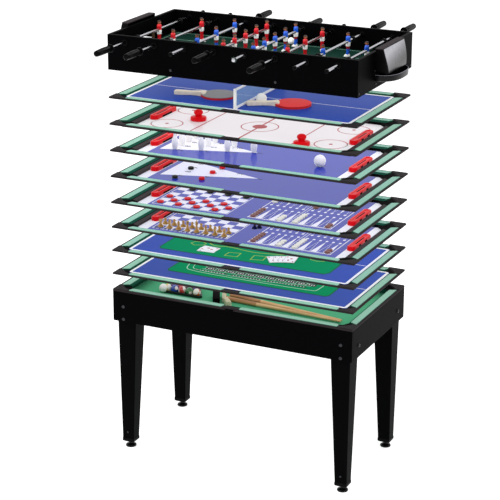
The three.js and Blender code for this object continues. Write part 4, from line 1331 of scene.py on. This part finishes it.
def painted_ball(number, place, tilt):
    """A ball and its paint. A striped one is white where its tilted height is over 0.55 of the radius, up or down,
    and every ball has a white spot where its tilted X is over 0.9 of it; the spots stay blank."""
    points, faces = lathe(globe(BALL, 0.02, 21), 32)
    lay = np.array(Matrix.Rotation(tilt[0], 3, "X") @ Matrix.Rotation(tilt[1], 3, "Y"))
    local = points @ lay
    striped = (number > 8) & (np.abs(local[:, 2]) > 0.55 * BALL)
    spot = local[:, 0] > 0.9 * BALL
    paint = np.where((striped | spot)[:, None], linear("F4F1E6"), linear(BALL_COLORS[(number - 1) % 8]))
    return (points + place, faces), paint


def build_rack():
    """Fifteen balls in rows of five to one, and the triangle round them."""
    row = BALL_STEP * math.sqrt(3) / 2
    places = [((j - (4 - i) / 2) * BALL_STEP, (i - 4 / 3) * row) for i in range(5) for j in range(5 - i)]
    random = np.random.default_rng(7)
    skin, paints = Skin(), []
    for number, (x, y) in zip(BALL_ORDER, places):
        part, paint = painted_ball(number, RACK + (x, y, BALL), random.uniform(-1.4, 1.4, 2))
        skin.add(part)
        paints.append(paint)
    piece("pool_balls", skin, "ball_paint", "base", "ball_rack", paint=("ball", np.concatenate(paints)))
    inner = BALL_STEP * 4 * math.sqrt(3) / 6 + 20.5
    corners = [(-inner * math.sqrt(3), -inner), (inner * math.sqrt(3), -inner), (0, 2 * inner)]
    triangle = moved(line(corner_cut(corners, 26), 6, 0.3, 13, True), RACK)
    piece("pool_rack", triangle, "rack", "base", "ball_rack", edge=1.2)


CUE = (
    (0, 4.4), (3, 5), (3.01, 5), (14, 5.1), (14.01, 5.2), (400, 8.9), (430, 9.2), (430.01, 9.4), (436, 9.4),
    (436.01, 9.3), (596, 10.8), (604, 10.6), (608, 9), (610, 4),
)
CUE_SIDES = 20


def build_cues():
    """Two cues that cross, each a round section carried along X: (along, r cos t, r sin t)."""
    along, radius = np.array(CUE, float).T[:, :, None]
    t = 2 * np.pi * np.arange(CUE_SIDES) / CUE_SIDES
    part = tube(np.stack([along + 0 * t, radius * np.cos(t), 11 + radius * np.sin(t)], -1))
    # The butt end, its last four bands and its end cap, takes the darker wood of painted shade.
    paint = [0] * CUE_SIDES * 9 + [1] * CUE_SIDES * 4 + [0, 1]
    cues = Skin()
    for turn, shift in ((172.5, -6.5), (176, 6.5)):
        x = 0.79 * LENGTH - math.sin(math.radians(turn)) * shift
        y = -0.455 * WIDTH + math.cos(math.radians(turn)) * shift
        cues.add(turned(part, turn), paint, (x, y, BED_TOP + 0.3))
    piece("pool_cues", cues, ["cue_wood", "cue_butt"], "base", "cues")


def build_pool():
    """What lies on the bed: the racked balls, the cue ball, chalk, the brush and two cues."""
    build_rack()
    build_ball("cue_ball", 21, (-437, -141, BED_TOP + 0.2), "base", 32)
    chalk = domed(oblong(10, 10, 2, 4, (-421, -58)), BED_TOP + 0.2, BED_TOP + 20, 1.5)
    piece("pool_chalk", chalk, "chalk", "base", edge=0.5)
    build_brush()
    build_cues()


def corner_cut(corners, cut):
    """An outline with a short bow for each corner, between the points a cut's length away on both sides."""
    corners = np.asarray(corners, float)
    before, after = np.roll(corners, 1, 0), np.roll(corners, -1, 0)
    near = corners + (before - corners) / np.linalg.norm(before - corners, axis=1, keepdims=True) * cut
    far = corners + (after - corners) / np.linalg.norm(after - corners, axis=1, keepdims=True) * cut
    blend = 0.25 * near + 0.5 * corners + 0.25 * far
    return np.stack([near, 0.56 * near + 0.44 * corners, blend, 0.56 * far + 0.44 * corners, far], 1).reshape(-1, 2)


BRISTLES = (
    ((-150, -78), (-136, -112), (-122, -140), (0, 5.5, 11)),
    ((-120, -138), (-98, -160), (-76, -188), (0, 5.5, 11, 16)),
)


def build_brush():
    """A brush lying on the bed: a black rounded back and rows of cream bristles that lean outwards."""
    back = turned(domed(oblong(17, 58, 6, 6), 0.2, 30, 4), 26)
    skin = Skin().add(back, 0, (-160, -132, BED_TOP))
    tuft = tube(np.array([[(x * half, y * half, z) for x, y in CORNERS] for half, z in ((2.6, 2), (2, 26))], float))
    places, share = [], np.linspace(0, 1, 11)
    for *path, rows in BRISTLES:
        middle = np.stack([np.interp(share, (0, 0.5, 1), values) for values in np.array(path).T], 1)
        places += [(x + r, y + 0.4 * r, 0) for r in rows for x, y in middle]
    skin.add(copies(tuft, places), 1, (0, 0, BED_TOP))
    piece("pool_brush", skin, ["pocket", "bristle"], "base", sharp=40)


# The football box


def hoop(profile, sides, inner):
    """A ring turned about Z from a closed profile of (radius, height), the radii measured from the inner one."""
    profile = np.asarray(profile, float)
    t = 2 * np.pi * np.arange(sides) / sides
    r, h = profile[:, 0][None] + inner, profile[:, 1][None]
    rings = np.stack([r * np.cos(t)[:, None], r * np.sin(t)[:, None], h + 0 * t[:, None]], -1)
    return tube(rings, closed=True)


END_SCREWS = ((-119, 1896), (-130, 1955), (-310, 1892), (119, 1896), (130, 1955), (310, 1892))
MOUTH = ((-95, 1934.4), (-95, 1980), (95, 1980), (95, 1934.4))


def build_walls():
    """The long walls with their bearings and screws, and the end walls with their screws and raw goal mouths."""
    ring = hoop([(0, -4), (8.2, -4), (8.2, 2.6), (7, 5.2), (4, 6), (1.2, 6), (0, 4.6)], 32, 7)
    inside = hoop([(0, -2), (6.5, -2), (6.5, 1), (5, 2.2), (0, 2.2)], 32, 7)
    body, edge = "football_box", sizes("edge")
    for side, other, sign in (("front", "back", -1), ("back", "front", 1)):
        node = f"box_wall_{side}"
        low, high = spanned(sign, WIDTH - PANEL, WIDTH)
        wall = block((-LENGTH, low, BOX_LOW[2]), (LENGTH, high, BOX_TOP))
        piece(f"football_wall_{side}", wall, "laminate", body, node, edge=edge)
        bearings = Skin()
        for x in ROD_PLACES:
            bearings.add(facing(ring, side), 0, (x, sign * WIDTH, ROD_HEIGHT))
            bearings.add(facing(inside, other), 0, (x, sign * (WIDTH - PANEL), ROD_HEIGHT))
        for x in (-290, 224):
            bearings.add(facing(bolt(6, 2.6), side), 1, (x, sign * WIDTH, BOX_LOW[2] + 29))
        piece(f"football_bearings_{side}", bearings, ["bearing", "bolt"], body, node, sharp=40)
    for side, sign in (("left", -1), ("right", 1)):
        trimmed(f"box_wall_{side}", f"football_wall_{side}", "laminate", body, edge)
        screws = Skin()
        for y, z in END_SCREWS:
            screws.add(facing(bolt(5, 2), side), 0, (sign * LENGTH, y, z))
        piece(f"football_screws_{side}", screws, "bolt", body)
        inner = np.array(MOUTH, float) + ((1.2, 0), (1.2, -1.2), (-1.2, -1.2), (-1.2, 0))
        loop = np.concatenate([MOUTH, inner[::-1]])
        ends = spanned(sign, LENGTH - PANEL + 0.3, LENGTH - 0.3)
        mouth = tube(np.stack([np.column_stack([np.full(8, x), loop]) for x in ends]))
        piece(f"football_mouth_{side}", mouth, "raw_edge", body)


BALL_PLACE = (28.0, 280.0)
FIELD = (575, 288)


def build_pitch():
    """The printed pitch with its thin pale lines, and the ball."""
    body = "football_box"
    low, high = print_levels(PITCH_TOP)
    field = panel_block(APRON, PITCH_TOP - 8, PITCH_TOP)
    piece("football_pitch", field, "pitch", body, "pitch")
    x, y = FIELD
    lines = Skin()
    lines.add(line(rectangle((-x, -y), (x, y)), 3, low, high, closed=True))
    lines.add(line([(0, -286), (0, 286)], 3, low, high))
    lines.add(line(arc(96, steps=64), 3, low, high, closed=True))
    lines.add(slab(arc(6, steps=24), low, high))
    for sign in (-1, 1):
        for depth, half in ((180, 150), (80, 105)):
            box = np.array([(x, -half), (x - depth, -half), (x - depth, half), (x, half)])
            lines.add(line(box * (sign, 1), 3, low, high + 0.02))
        lines.add(line(arc(70, -46, 46, 24, (-x + 130, 0)) * (-sign, 1), 3, low, high))
        for s in (-1, 1):
            lines.add(line((np.array([-x, -y]) + arc(22, 0, 90, 12)) * (-sign, s), 2.4, low, high))
    piece("football_lines", lines, "pitch_ink", body, "pitch")
    build_ball("football_ball", 17, (*BALL_PLACE, PITCH_TOP + 0.3), body, 28)


HOOD_RISE, HOOD_DROP = 14, 112
PLATE_ROWS, PLATE_COLUMNS = 25, 17
CUP_SIDES = 33
CUP = (
    (85, 125, 0), (87.4, 127.4, 1.6), (88, 128, 4), (88, 128, 27), (87, 127, 28), (85.8, 125.8, 28), (85, 125, 27),
    (84.6, 124.6, 6), (82, 122, 3),
)


def hood_section(share):
    """How far the goal box stands out, half its width, and its height, at a share of its height from the top
    down: the depth grows with the sine of a quarter turn, and the half width falls with the share's square."""
    return 33 + 21 * np.sin(share * np.pi / 2), 131 - 19 * share**2, BOX_TOP + HOOD_RISE - HOOD_DROP * share


def build_hoods():
    """On each end wall, a goal box with its lid and its plate, bright with a painted highlight, and the round ball
    tray under it.
    """
    face, body, slot = LENGTH + 0.3, "football_box", "black_plastic"
    for side, sign in (("left", -1), ("right", 1)):
        rings = []
        for share in np.linspace(0, 1, 25):
            depth, half, z = hood_section(share)
            inner = rounded_u(face, depth - 3, half - 3, 5)[::-1]
            outline = np.concatenate([rounded_u(face, depth, half, 7), inner])
            rings.append(np.column_stack([outline * (sign, 1), np.full(len(outline), z)]))
        depth, half, z = hood_section(0)
        lid = chamfered(rounded_u(face, depth + 0.8, half + 0.8, 7.5) * (sign, 1), z - 3.5, z + 0.8, 1.2)
        shell = Skin().add(tube(np.array(rings)), 0).add(lid, 1)
        piece(f"goal_box_{side}_shell", shell, ["bearing", "rim"], body, f"goal_box_{side}", sharp=30)
        plate, gleam = hood_plate(face, sign)
        name = f"goal_box_{side}_plate"
        piece(name, plate, "hood_plate", body, f"goal_box_{side}", sharp=50, paint=("gleam", gleam))
        paint = [0] * CUP_SIDES * 3 + [1] * CUP_SIDES * 3 + [0] * CUP_SIDES * 2 + [0, 0]
        name = f"ball_tray_{side}_cup"
        cup = Skin().add(tray_cup(face, sign), paint)
        piece(name, cup, ["shine", "grey_ink"], body, f"ball_tray_{side}", sharp=40)


def hood_plate(face, sign):
    """The plate over the goal box, swollen with the root of cos across, and its paint: a painted highlight that
    fades down and across."""
    down, across = np.linspace(0.03, 0.985, PLATE_ROWS), np.linspace(-1, 1, PLATE_COLUMNS)
    share, across = (grid.ravel() for grid in np.meshgrid(down, across, indexing="ij"))
    depth, half, z = hood_section(share)
    skins = [
        np.stack([sign * (face + depth + lift * np.cos(across) ** 0.5), across * (half - 10), z], 1)
        for lift in (-0.8, 1.2)
    ]
    # Painted highlight: brightest at the top and towards the front, near black at the foot.
    light = np.clip(1.15 - 1.25 * share - 0.25 * across, 0, 1) ** 1.6
    dark, bright = (np.array(linear(code)) for code in ("0A0A0C", "B8B8C0"))
    return plate_between(*skins, PLATE_ROWS, PLATE_COLUMNS), np.tile(dark + light[:, None] * (bright - dark), (2, 1))


def tray_cup(face, sign):
    """Half a rounded oval, (|cos t|^0.8, |sin t|^0.8) with their signs, carried up the tray's profile."""
    t = np.linspace(-np.pi / 2, np.pi / 2, CUP_SIDES)
    c, s = (np.sign(f(t)) * np.abs(f(t)) ** 0.8 for f in (np.cos, np.sin))
    reach, half, height = np.array(CUP, float).T[:, :, None]
    return tube(np.stack([sign * (face + reach * c), half * s, BOX_TOP - 132 + height + 0 * t], -1))


def plate_between(inner, outer, rows, columns):
    """A closed plate between two grids of points: both faces, and a strip along the four edges."""
    number = np.arange(rows * columns).reshape(rows, columns)
    quads = grid_quads(rows, columns)
    loop = np.concatenate([number[0, :-1], number[:-1, -1], number[-1, :0:-1], number[:0:-1, 0]])
    after, count = np.roll(loop, -1), rows * columns
    strip = np.stack([loop, after, after + count, loop + count], 1)
    return np.concatenate([inner, outer]), quads.tolist() + (quads[:, ::-1] + count).tolist() + strip.tolist()


def rounded_u(face, depth, half, radius):
    """A path out from the wall, across and back, with quarter circles at its two corners."""
    t = np.linspace(0, np.pi / 2, 7)
    lower = np.stack([face + depth - radius + radius * np.sin(t), -half + radius - radius * np.cos(t)], 1)
    upper = lower[::-1] * (1, -1)
    return np.concatenate([[(face, -half)], lower, upper, [(face, half)]])


# The rods


MEN = {"keeper": [0], "pair": [-143, 143], "three": [-192, 0, 192], "five": [-228, -114, 0, 114, 228]}
STOPS = {"keeper": 209, "pair": 197, "three": 216, "five": 252}
REACH = {"keeper": (132.5, 132.5), "pair": (132.5, 132.5), "three": (132.5, 132.5), "five": (62.5, 107.5)}
# A man's rings: height over the rod, half width, half depth, shift forward, and the finish of the band above.
BODY_RINGS = (
    (-22.5, 9.6, 7.6, 0, 2), (-22, 11.2, 9.4, 0, 2), (-12, 11.8, 10, 0, 2), (-3.5, 11.4, 9.6, 0, 2),
    (-3, 11.2, 9.4, 0, 1), (6, 11.6, 9.8, 0, 1), (14, 12.4, 9.6, 0, 1), (19, 12.4, 8.8, 0, 1), (22, 10.6, 7.4, 0, 1),
    (24, 6, 5.6, 0, 1), (24.6, 4, 4.6, 0.4, 3), (26.4, 4, 4.8, 0.8, 3), (28, 5.6, 6.6, 1.2, 3),
    (31, 6.6, 7.8, 1.4, 3), (34, 6.9, 8.2, 1.2, 3), (35, 7, 8.2, 0.8, 4), (38, 6.4, 7.4, 0.2, 4),
    (40.2, 4, 4.8, 0, 4), (41, 0.6, 0.6, 0, 4),
)
LEG_RINGS = (
    (-60, 4.3, 6.4, 1.6, 5), (-52, 4.1, 5.4, 0.6, 5), (-42, 4.5, 6.2, -0.2, 5), (-35, 4.3, 5.6, 0, 5),
    (-34.6, 4.5, 5.8, 0, 6), (-27, 4.9, 6.6, 0, 6), (-21, 5, 7.2, 0, 6),
)
BOOT_RINGS = (
    (-72, 8.8, 13.6, 5.5, 7), (-70.8, 9.6, 14.6, 5.5, 7), (-66, 9.6, 13.6, 4.8, 7), (-61, 9, 10, 2.6, 7),
    (-58.5, 7.6, 6.6, 1.2, 7),
)
ARM_RINGS = (
    (-8, 2.0, 2.6, 2.2, 3), (-3, 2.4, 3.0, 1.6, 3), (4, 2.5, 3.0, 0.4, 3), (5, 3.0, 3.6, 0.4, 1),
    (14, 3.1, 3.9, 0, 1), (19, 2.6, 3.2, 0, 1), (21, 1.2, 1.6, 0, 1),
)
# Rings, points round each, how square they are, and where they stand along the rod.
MAN = (
    (BOOT_RINGS, 16, 0.7, 0), (LEG_RINGS, 12, 0.9, -5), (LEG_RINGS, 12, 0.9, 5), (BODY_RINGS, 18, 0.8, 0),
    (ARM_RINGS, 10, 0.95, -11.9), (ARM_RINGS, 10, 0.95, 11.9),
)


def figure_part(rings, sides, squareness, y, facing_sign):
    """Rings of a rounded section: (shift + deep |cos t|^n sign, wide |sin t|^n sign) at each height, with the
    paint of each band."""
    t = 2 * np.pi * np.arange(sides) / sides
    c, s = (np.sign(f(t)) * np.abs(f(t)) ** squareness for f in (np.cos, np.sin))
    height, wide, deep, shift, _ = np.array(rings, float).T[:, :, None]
    paint = [ring[4] for ring in rings]
    points = np.stack([facing_sign * (shift + deep * c), wide * s + y, height + 0 * c], -1)
    return tube(points), [band for band in paint[:-1] for _ in range(sides)] + [paint[0], paint[-1]]


HANDLE_LENGTH = 127
HANDLE_TABLE = np.array([
    (0, 0, 0), (0.1, 0, 0), (0.16, 0.25, 0.3), (0.24, 0.85, 1), (0.45, 1, 1), (0.62, 1, 1), (0.84, 0.8, 1),
    (0.93, 0.62, 0.6), (0.965, 0.5, 0), (1, 0.2, 0),
])


def handle(start, sign):
    """A fluted grip along Y: radius = neck + swell - flute depth times a dip that follows cos 6 t, with a domed
    end. The table gives the swell and the flutes at shares of the length."""
    along = np.linspace(0, 1, 40)
    swell, flute = (np.interp(along, HANDLE_TABLE[:, 0], HANDLE_TABLE[:, k]) for k in (1, 2))
    for values in (swell, flute):
        values[1:-1] = np.convolve(values, (0.25, 0.5, 0.25), "valid")
    t = 2 * np.pi * np.arange(48) / 48
    dip = np.clip(np.cos(6 * t), -0.2, 1) * 0.8 + 0.2
    radius = 12 + 4 * swell[:, None] - 3.2 * flute[:, None] * dip
    along = np.concatenate([along, [1.012, 1.02, 1.024]])
    radius = np.concatenate([radius, radius[-1] * np.array([[0.9], [0.6], [0.1]])])
    y = start + sign * along[:, None] * HANDLE_LENGTH + 0 * t
    return tube(np.stack([radius * np.cos(t), y, radius * np.sin(t)], -1))


COLLAR = ((6.2, 0), (17, 0), (18, 1), (18, 6), (16.6, 8), (12.8, 8.6), (6.2, 8.6))
STOP = ((5.9, -7), (11.6, -7), (13, -5.6), (13, -1), (12, 0), (13, 1), (13, 5.6), (11.6, 7), (5.9, 7))
BUMPER = ((0, -7), (4.6, -7), (6, -5.6), (6, -1), (5, 0), (6, 1), (6, 5.6), (4.6, 7), (0, 7))
END_CAP = ((5.9, -14), (8.4, -14), (9, -13), (9, -3), (8, -0.9), (5.5, 0), (0.1, 0.2))
CHROME_CAP = ((5.9, -13), (8.5, -13), (8.5, -1), (7, 0), (0.1, 0.2))
DISC_CAP = ((5.9, -7), (12.5, -7), (13, -6), (12.5, -5), (5.9, -5))


def build_rod(k):
    """Rod k: chrome tube, men, handle with collar, end cap and stops. Rod 5 ends in chrome with a clear disc."""
    kind, side, facing_sign = ROD_KINDS[k - 1], ROD_SIDES[k - 1], ROD_FACES[k - 1]
    body, node = f"rod_spin_{k}", f"rod_{k}"
    x, z = ROD_PLACES[k - 1], ROD_HEIGHT
    reach, tail = (WIDTH + r for r in REACH[kind])
    profile = [(0.1, -tail + 4), (6.0, -tail + 4), (6.4, -tail + 4.6), (6.4, reach + 6), (0.1, reach + 6)]
    points, faces = bar(profile, 32, 1)
    piece(f"rod_{k}_shaft", moved((points * (1, side, 1), faces), (x, 0, z)), "chrome", body, node)
    figures = Skin()
    parts = [figure_part(*shape, facing_sign) for shape in MAN]
    for y in MEN[kind]:
        for part, paint in parts:
            figures.add(part, paint, (x, y, z))
    shirt, socks = ("shirt_red", "shirt_red") if facing_sign > 0 else ("shirt_blue", "skin_dark")
    finishes = ["chrome", shirt, "shorts", "skin", "hair", shirt, socks, "shorts"]
    piece(f"rod_{k}_men", figures, finishes, body, node, sharp=45)
    grips = Skin().add(handle(side * reach, side), 0, (x, 0, z))
    grips.add(bar(COLLAR, 40, side), 0, (x, side * (reach - 0.6), z))
    grips.add(bar(STOP, 32, 1), 1, (x, side * STOPS[kind], z))
    ends = ((CHROME_CAP, 28, 2), (DISC_CAP, 32, 3)) if k == 5 else ((END_CAP, 28, 0),)
    for profile, sides, paint in ends:
        grips.add(bar(profile, sides, -side), paint, (x, -side * tail, z))
    piece(f"rod_{k}_grips", grips, ["grip", "rubber", "chrome", "clear_disc"], body, node, sharp=40)
    loose = moved(turned(hoop(BUMPER, 32, 7), 90, "X"), (x, -side * STOPS[kind], z))
    piece(f"bumper_{k}_ring", loose, "rubber", f"rod_slide_{k}", f"bumper_{k}", sharp=40)


# The stage


def aimed(made, place, ahead):
    """Puts a lamp or the camera at a place in metres, turned to look ahead."""
    made.location = place
    made.rotation_euler = ahead.to_track_quat("-Z", "Y").to_euler()


def lamp(name, energy, place, target, width, depth, on=None):
    """An area lamp that looks at a target. One that belongs to a board hangs from its piece."""
    data = bpy.data.lights.new(name, "AREA")
    data.energy = energy
    data.shape = "RECTANGLE"
    data.size, data.size_y = width, depth
    made = linked(name, data)
    aimed(made, place, Vector(target) - Vector(place))
    made.visible_camera = made.visible_glossy = False
    if on:
        made.parent = bpy.data.objects[on]


def seen(tree):
    """1 for rays from the camera, a mirror or through glass, else 0."""
    rays = tree.nodes.new("ShaderNodeLightPath").outputs
    both = math_node(tree, "MAXIMUM", rays["Is Camera Ray"], rays["Is Glossy Ray"])
    return math_node(tree, "MAXIMUM", both, rays["Is Transmission Ray"])


WORLD_LIGHT = 0.72


def build_world():
    """Even white light, and a plain white background."""
    world = bpy.data.worlds.new("Studio")
    world.use_nodes = True
    tree = world.node_tree
    background = tree.nodes["Background"]
    background.inputs["Color"].default_value = (1, 1, 1, 1)
    tree.links.new(ranged(tree, seen(tree), WORLD_LIGHT, 1.0), background.inputs["Strength"])
    bpy.context.scene.world = world


FLOOR_REACH = 14.0
FLOOR_POINTS = 9
FLOOR_HEIGHT = -0.0005
FLOOR_GLOW = 0.62


def build_floor():
    """A wide floor that shows white to the camera and keeps the table's shadow."""
    steps = np.linspace(-FLOOR_REACH, FLOOR_REACH, FLOOR_POINTS)
    grid = np.stack(np.meshgrid(steps, steps, indexing="ij"), -1).reshape(-1, 2)
    points = np.column_stack([grid, np.full(len(grid), FLOOR_HEIGHT)])
    mesh = bpy.data.meshes.new("studio_floor")
    mesh.from_pydata(points.tolist(), [], grid_quads(FLOOR_POINTS, FLOOR_POINTS).tolist())
    material = bpy.data.materials.new("studio_floor_finish")
    material.use_nodes = True
    tree = material.node_tree
    shader = tree.nodes["Principled BSDF"].inputs
    shader["Roughness"].default_value = 0.9
    shader["Specular IOR Level"].default_value = 0.0
    grain = mapped(tree, 3.0, "ShaderNodeTexNoise", Detail=3.0).outputs["Fac"]
    tree.links.new(blended(tree, grain, (0.80, 0.80, 0.80, 1), (0.83, 0.83, 0.83, 1)), shader["Base Color"])
    shader["Emission Color"].default_value = (1, 1, 1, 1)
    tree.links.new(ranged(tree, seen(tree), 0.0, FLOOR_GLOW), shader["Emission Strength"])
    mesh.materials.append(material)
    linked("studio_floor", mesh)


CAMERA_PLACE = (3.4121248, -7.2690989, 3.7456493)
CAMERA_YAW = 2.0256
CAMERA_PITCH = 0.319
CAMERA_LENS = 130.116
CAMERA_SHIFT = 0.036018


def build_camera():
    """The camera at the photograph's viewing angle."""
    data = bpy.data.cameras.new("Camera")
    data.sensor_width = 36
    data.lens = CAMERA_LENS
    data.shift_x, data.shift_y = CAMERA_SHIFT, -CAMERA_SHIFT
    data.clip_end = 60
    made = linked("Camera", data)
    level = math.cos(CAMERA_PITCH)
    ahead = (level * math.cos(CAMERA_YAW), level * math.sin(CAMERA_YAW), -math.sin(CAMERA_PITCH))
    aimed(made, CAMERA_PLACE, Vector(ahead))
    bpy.context.scene.camera = made


REFLECTED = ("pins", "pucks", "ball", "pushers")


def clear_reflections():
    """Keeps the lifted boards and their rails out of each other's reflections, as if each were pictured alone.
    Only the pins, pucks, balls and pushers are left to be mirrored in the board that they stand on."""
    for made in bpy.data.objects:
        if made.name.startswith(LAYERS) and not made.name.endswith(REFLECTED):
            made.visible_glossy = False


GAP_ENERGY = 1.75
UNDER_RECESSED, UNDER_FLUSH = 26.6, 14.8


def build_lamps():
    """A large key overhead, a fill from the camera's side, one from behind, and a soft lamp under every lifted
    layer and over the pitch."""
    lamp("key", 150, (-2.2, -3.0, 5.4), (0, 0, 1.3), 3.2, 3.2)
    lamp("fill", 80, (4.6, -3.4, 4.0), (0, 0, 1.2), 3.0, 3.0)
    lamp("back", 50, (0.5, 4.6, 3.6), (0, 0, 1.2), 3.0, 3.0)
    for layer in LAYERS:
        z = (TOPS[layer] - (UNDER_RECESSED if layer in RECESSED else UNDER_FLUSH) - 3) * MM
        lamp(f"under_{layer}", GAP_ENERGY, (0, 0, z), (0, 0, z - 1), 1.2, 0.54, f"{layer}_rim")
    z = (BOX_LOW[2] - 3) * MM
    lamp("under_football", GAP_ENERGY, (0, 0, z), (0, 0, z - 1), 1.2, 0.54, "football_wall_front")
    lamp("over_pitch", 3.2, (0, 0, BOX_TOP * MM + 0.25), (0, 0, 1.0), 1.1, 0.55, "football_wall_front")


# The operators and the panel


class BuildRails(bpy.types.Operator):
    """Rims, cushions and caps of the base and of the eight boards"""

    bl_idname = "game_table.rails"
    bl_label = "Rails"

    def execute(self, context):
        for layer in ("base", *LAYERS):
            build_rail(layer)
        return {"FINISHED"}


class BuildBase(bpy.types.Operator):
    """Aprons, bolts, bed, legs and feet"""

    bl_idname = "game_table.base"
    bl_label = "Base"

    def execute(self, context):
        build_base()
        build_legs()
        return {"FINISHED"}


class BuildPool(bpy.types.Operator):
    """Balls, rack, cues, chalk and brush"""

    bl_idname = "game_table.pool"
    bl_label = "Pool pieces"

    def execute(self, context):
        build_pool()
        return {"FINISHED"}


class BuildFlushBoards(bpy.types.Operator):
    """The three blue boards with the mats, cards, net, bats and ball"""

    bl_idname = "game_table.flush_boards"
    bl_label = "Blue boards"

    def execute(self, context):
        for layer in FLUSH:
            build_flush(layer)
        build_cards("cards_layer", "cards_board", TOPS["cards"] - FLUSH_DROP)
        build_craps("craps_layer", "craps_board", TOPS["craps"] - FLUSH_DROP)
        top = TOPS["tennis"] - FLUSH_DROP + STANDING
        build_net("tennis_layer", top)
        build_bat("bat_left", (-265, -96), 14, "bat_grey", "tennis_layer", top)
        build_bat("bat_right", (114, -116), 26, "bat_red", "tennis_layer", top)
        build_ball("tennis_ball", 24.4, (60, -113, top), "tennis_layer", 28)
        return {"FINISHED"}


class BuildRecessedBoards(bpy.types.Operator):
    """The five recessed boards with their goals, prints and pieces"""

    bl_idname = "game_table.recessed_boards"
    bl_label = "Recessed boards"

    def execute(self, context):
        for layer in RECESSED:
            build_recessed(layer)
            build_goals(layer)
            if layer in ("chess", "draughts"):
                build_squares(layer)
                build_points(layer)
                build_stacks(layer)
        build_draughtsmen()
        build_chessmen()
        build_shuffle()
        build_bowling()
        build_hockey()
        return {"FINISHED"}


class BuildFootball(bpy.types.Operator):
    """Walls, bearings, pitch, goal boxes and ball trays"""

    bl_idname = "game_table.football"
    bl_label = "Football box"

    def execute(self, context):
        build_walls()
        build_pitch()
        build_hoods()
        return {"FINISHED"}


class BuildRods(bpy.types.Operator):
    """Eight rods with men, handles, caps and stops"""

    bl_idname = "game_table.rods"
    bl_label = "Rods"

    def execute(self, context):
        for k in range(1, 9):
            build_rod(k)
        return {"FINISHED"}


class BuildStage(bpy.types.Operator):
    """Floor, world, lamps and camera"""

    bl_idname = "game_table.stage"
    bl_label = "Stage"

    def execute(self, context):
        bpy.context.scene.view_settings.view_transform = "Standard"
        build_world()
        build_floor()
        clear_reflections()
        build_lamps()
        build_camera()
        return {"FINISHED"}


OPERATORS = (
    BuildRails, BuildBase, BuildPool, BuildFlushBoards, BuildRecessedBoards, BuildFootball, BuildRods, BuildStage,
)


class GameTablePanel(bpy.types.Panel):
    """Lists the table's pieces, sizes and colours"""

    bl_idname = "VIEW3D_PT_game_table"
    bl_label = "Game table"
    bl_space_type = "VIEW_3D"
    bl_region_type = "UI"
    bl_category = "Game table"

    def draw(self, context):
        for group in (context.scene.game_table_sizes, context.scene.game_table_colors):
            for name in group.__annotations__:
                self.layout.prop(group, name)
        for operator in OPERATORS:
            self.layout.operator(operator.bl_idname)


CLASSES = (GameTableColors, GameTableSizes, *OPERATORS, GameTablePanel)


def register():
    for each in CLASSES:
        bpy.utils.register_class(each)
    bpy.types.Scene.game_table_colors = PointerProperty(type=GameTableColors)
    bpy.types.Scene.game_table_sizes = PointerProperty(type=GameTableSizes)


def unregister():
    del bpy.types.Scene.game_table_sizes
    del bpy.types.Scene.game_table_colors
    for each in reversed(CLASSES):
        bpy.utils.unregister_class(each)


def main():
    register()
    for operator in OPERATORS:
        group, name = operator.bl_idname.split(".")
        getattr(getattr(bpy.ops, group), name)()


if __name__ == "__main__":
    main()
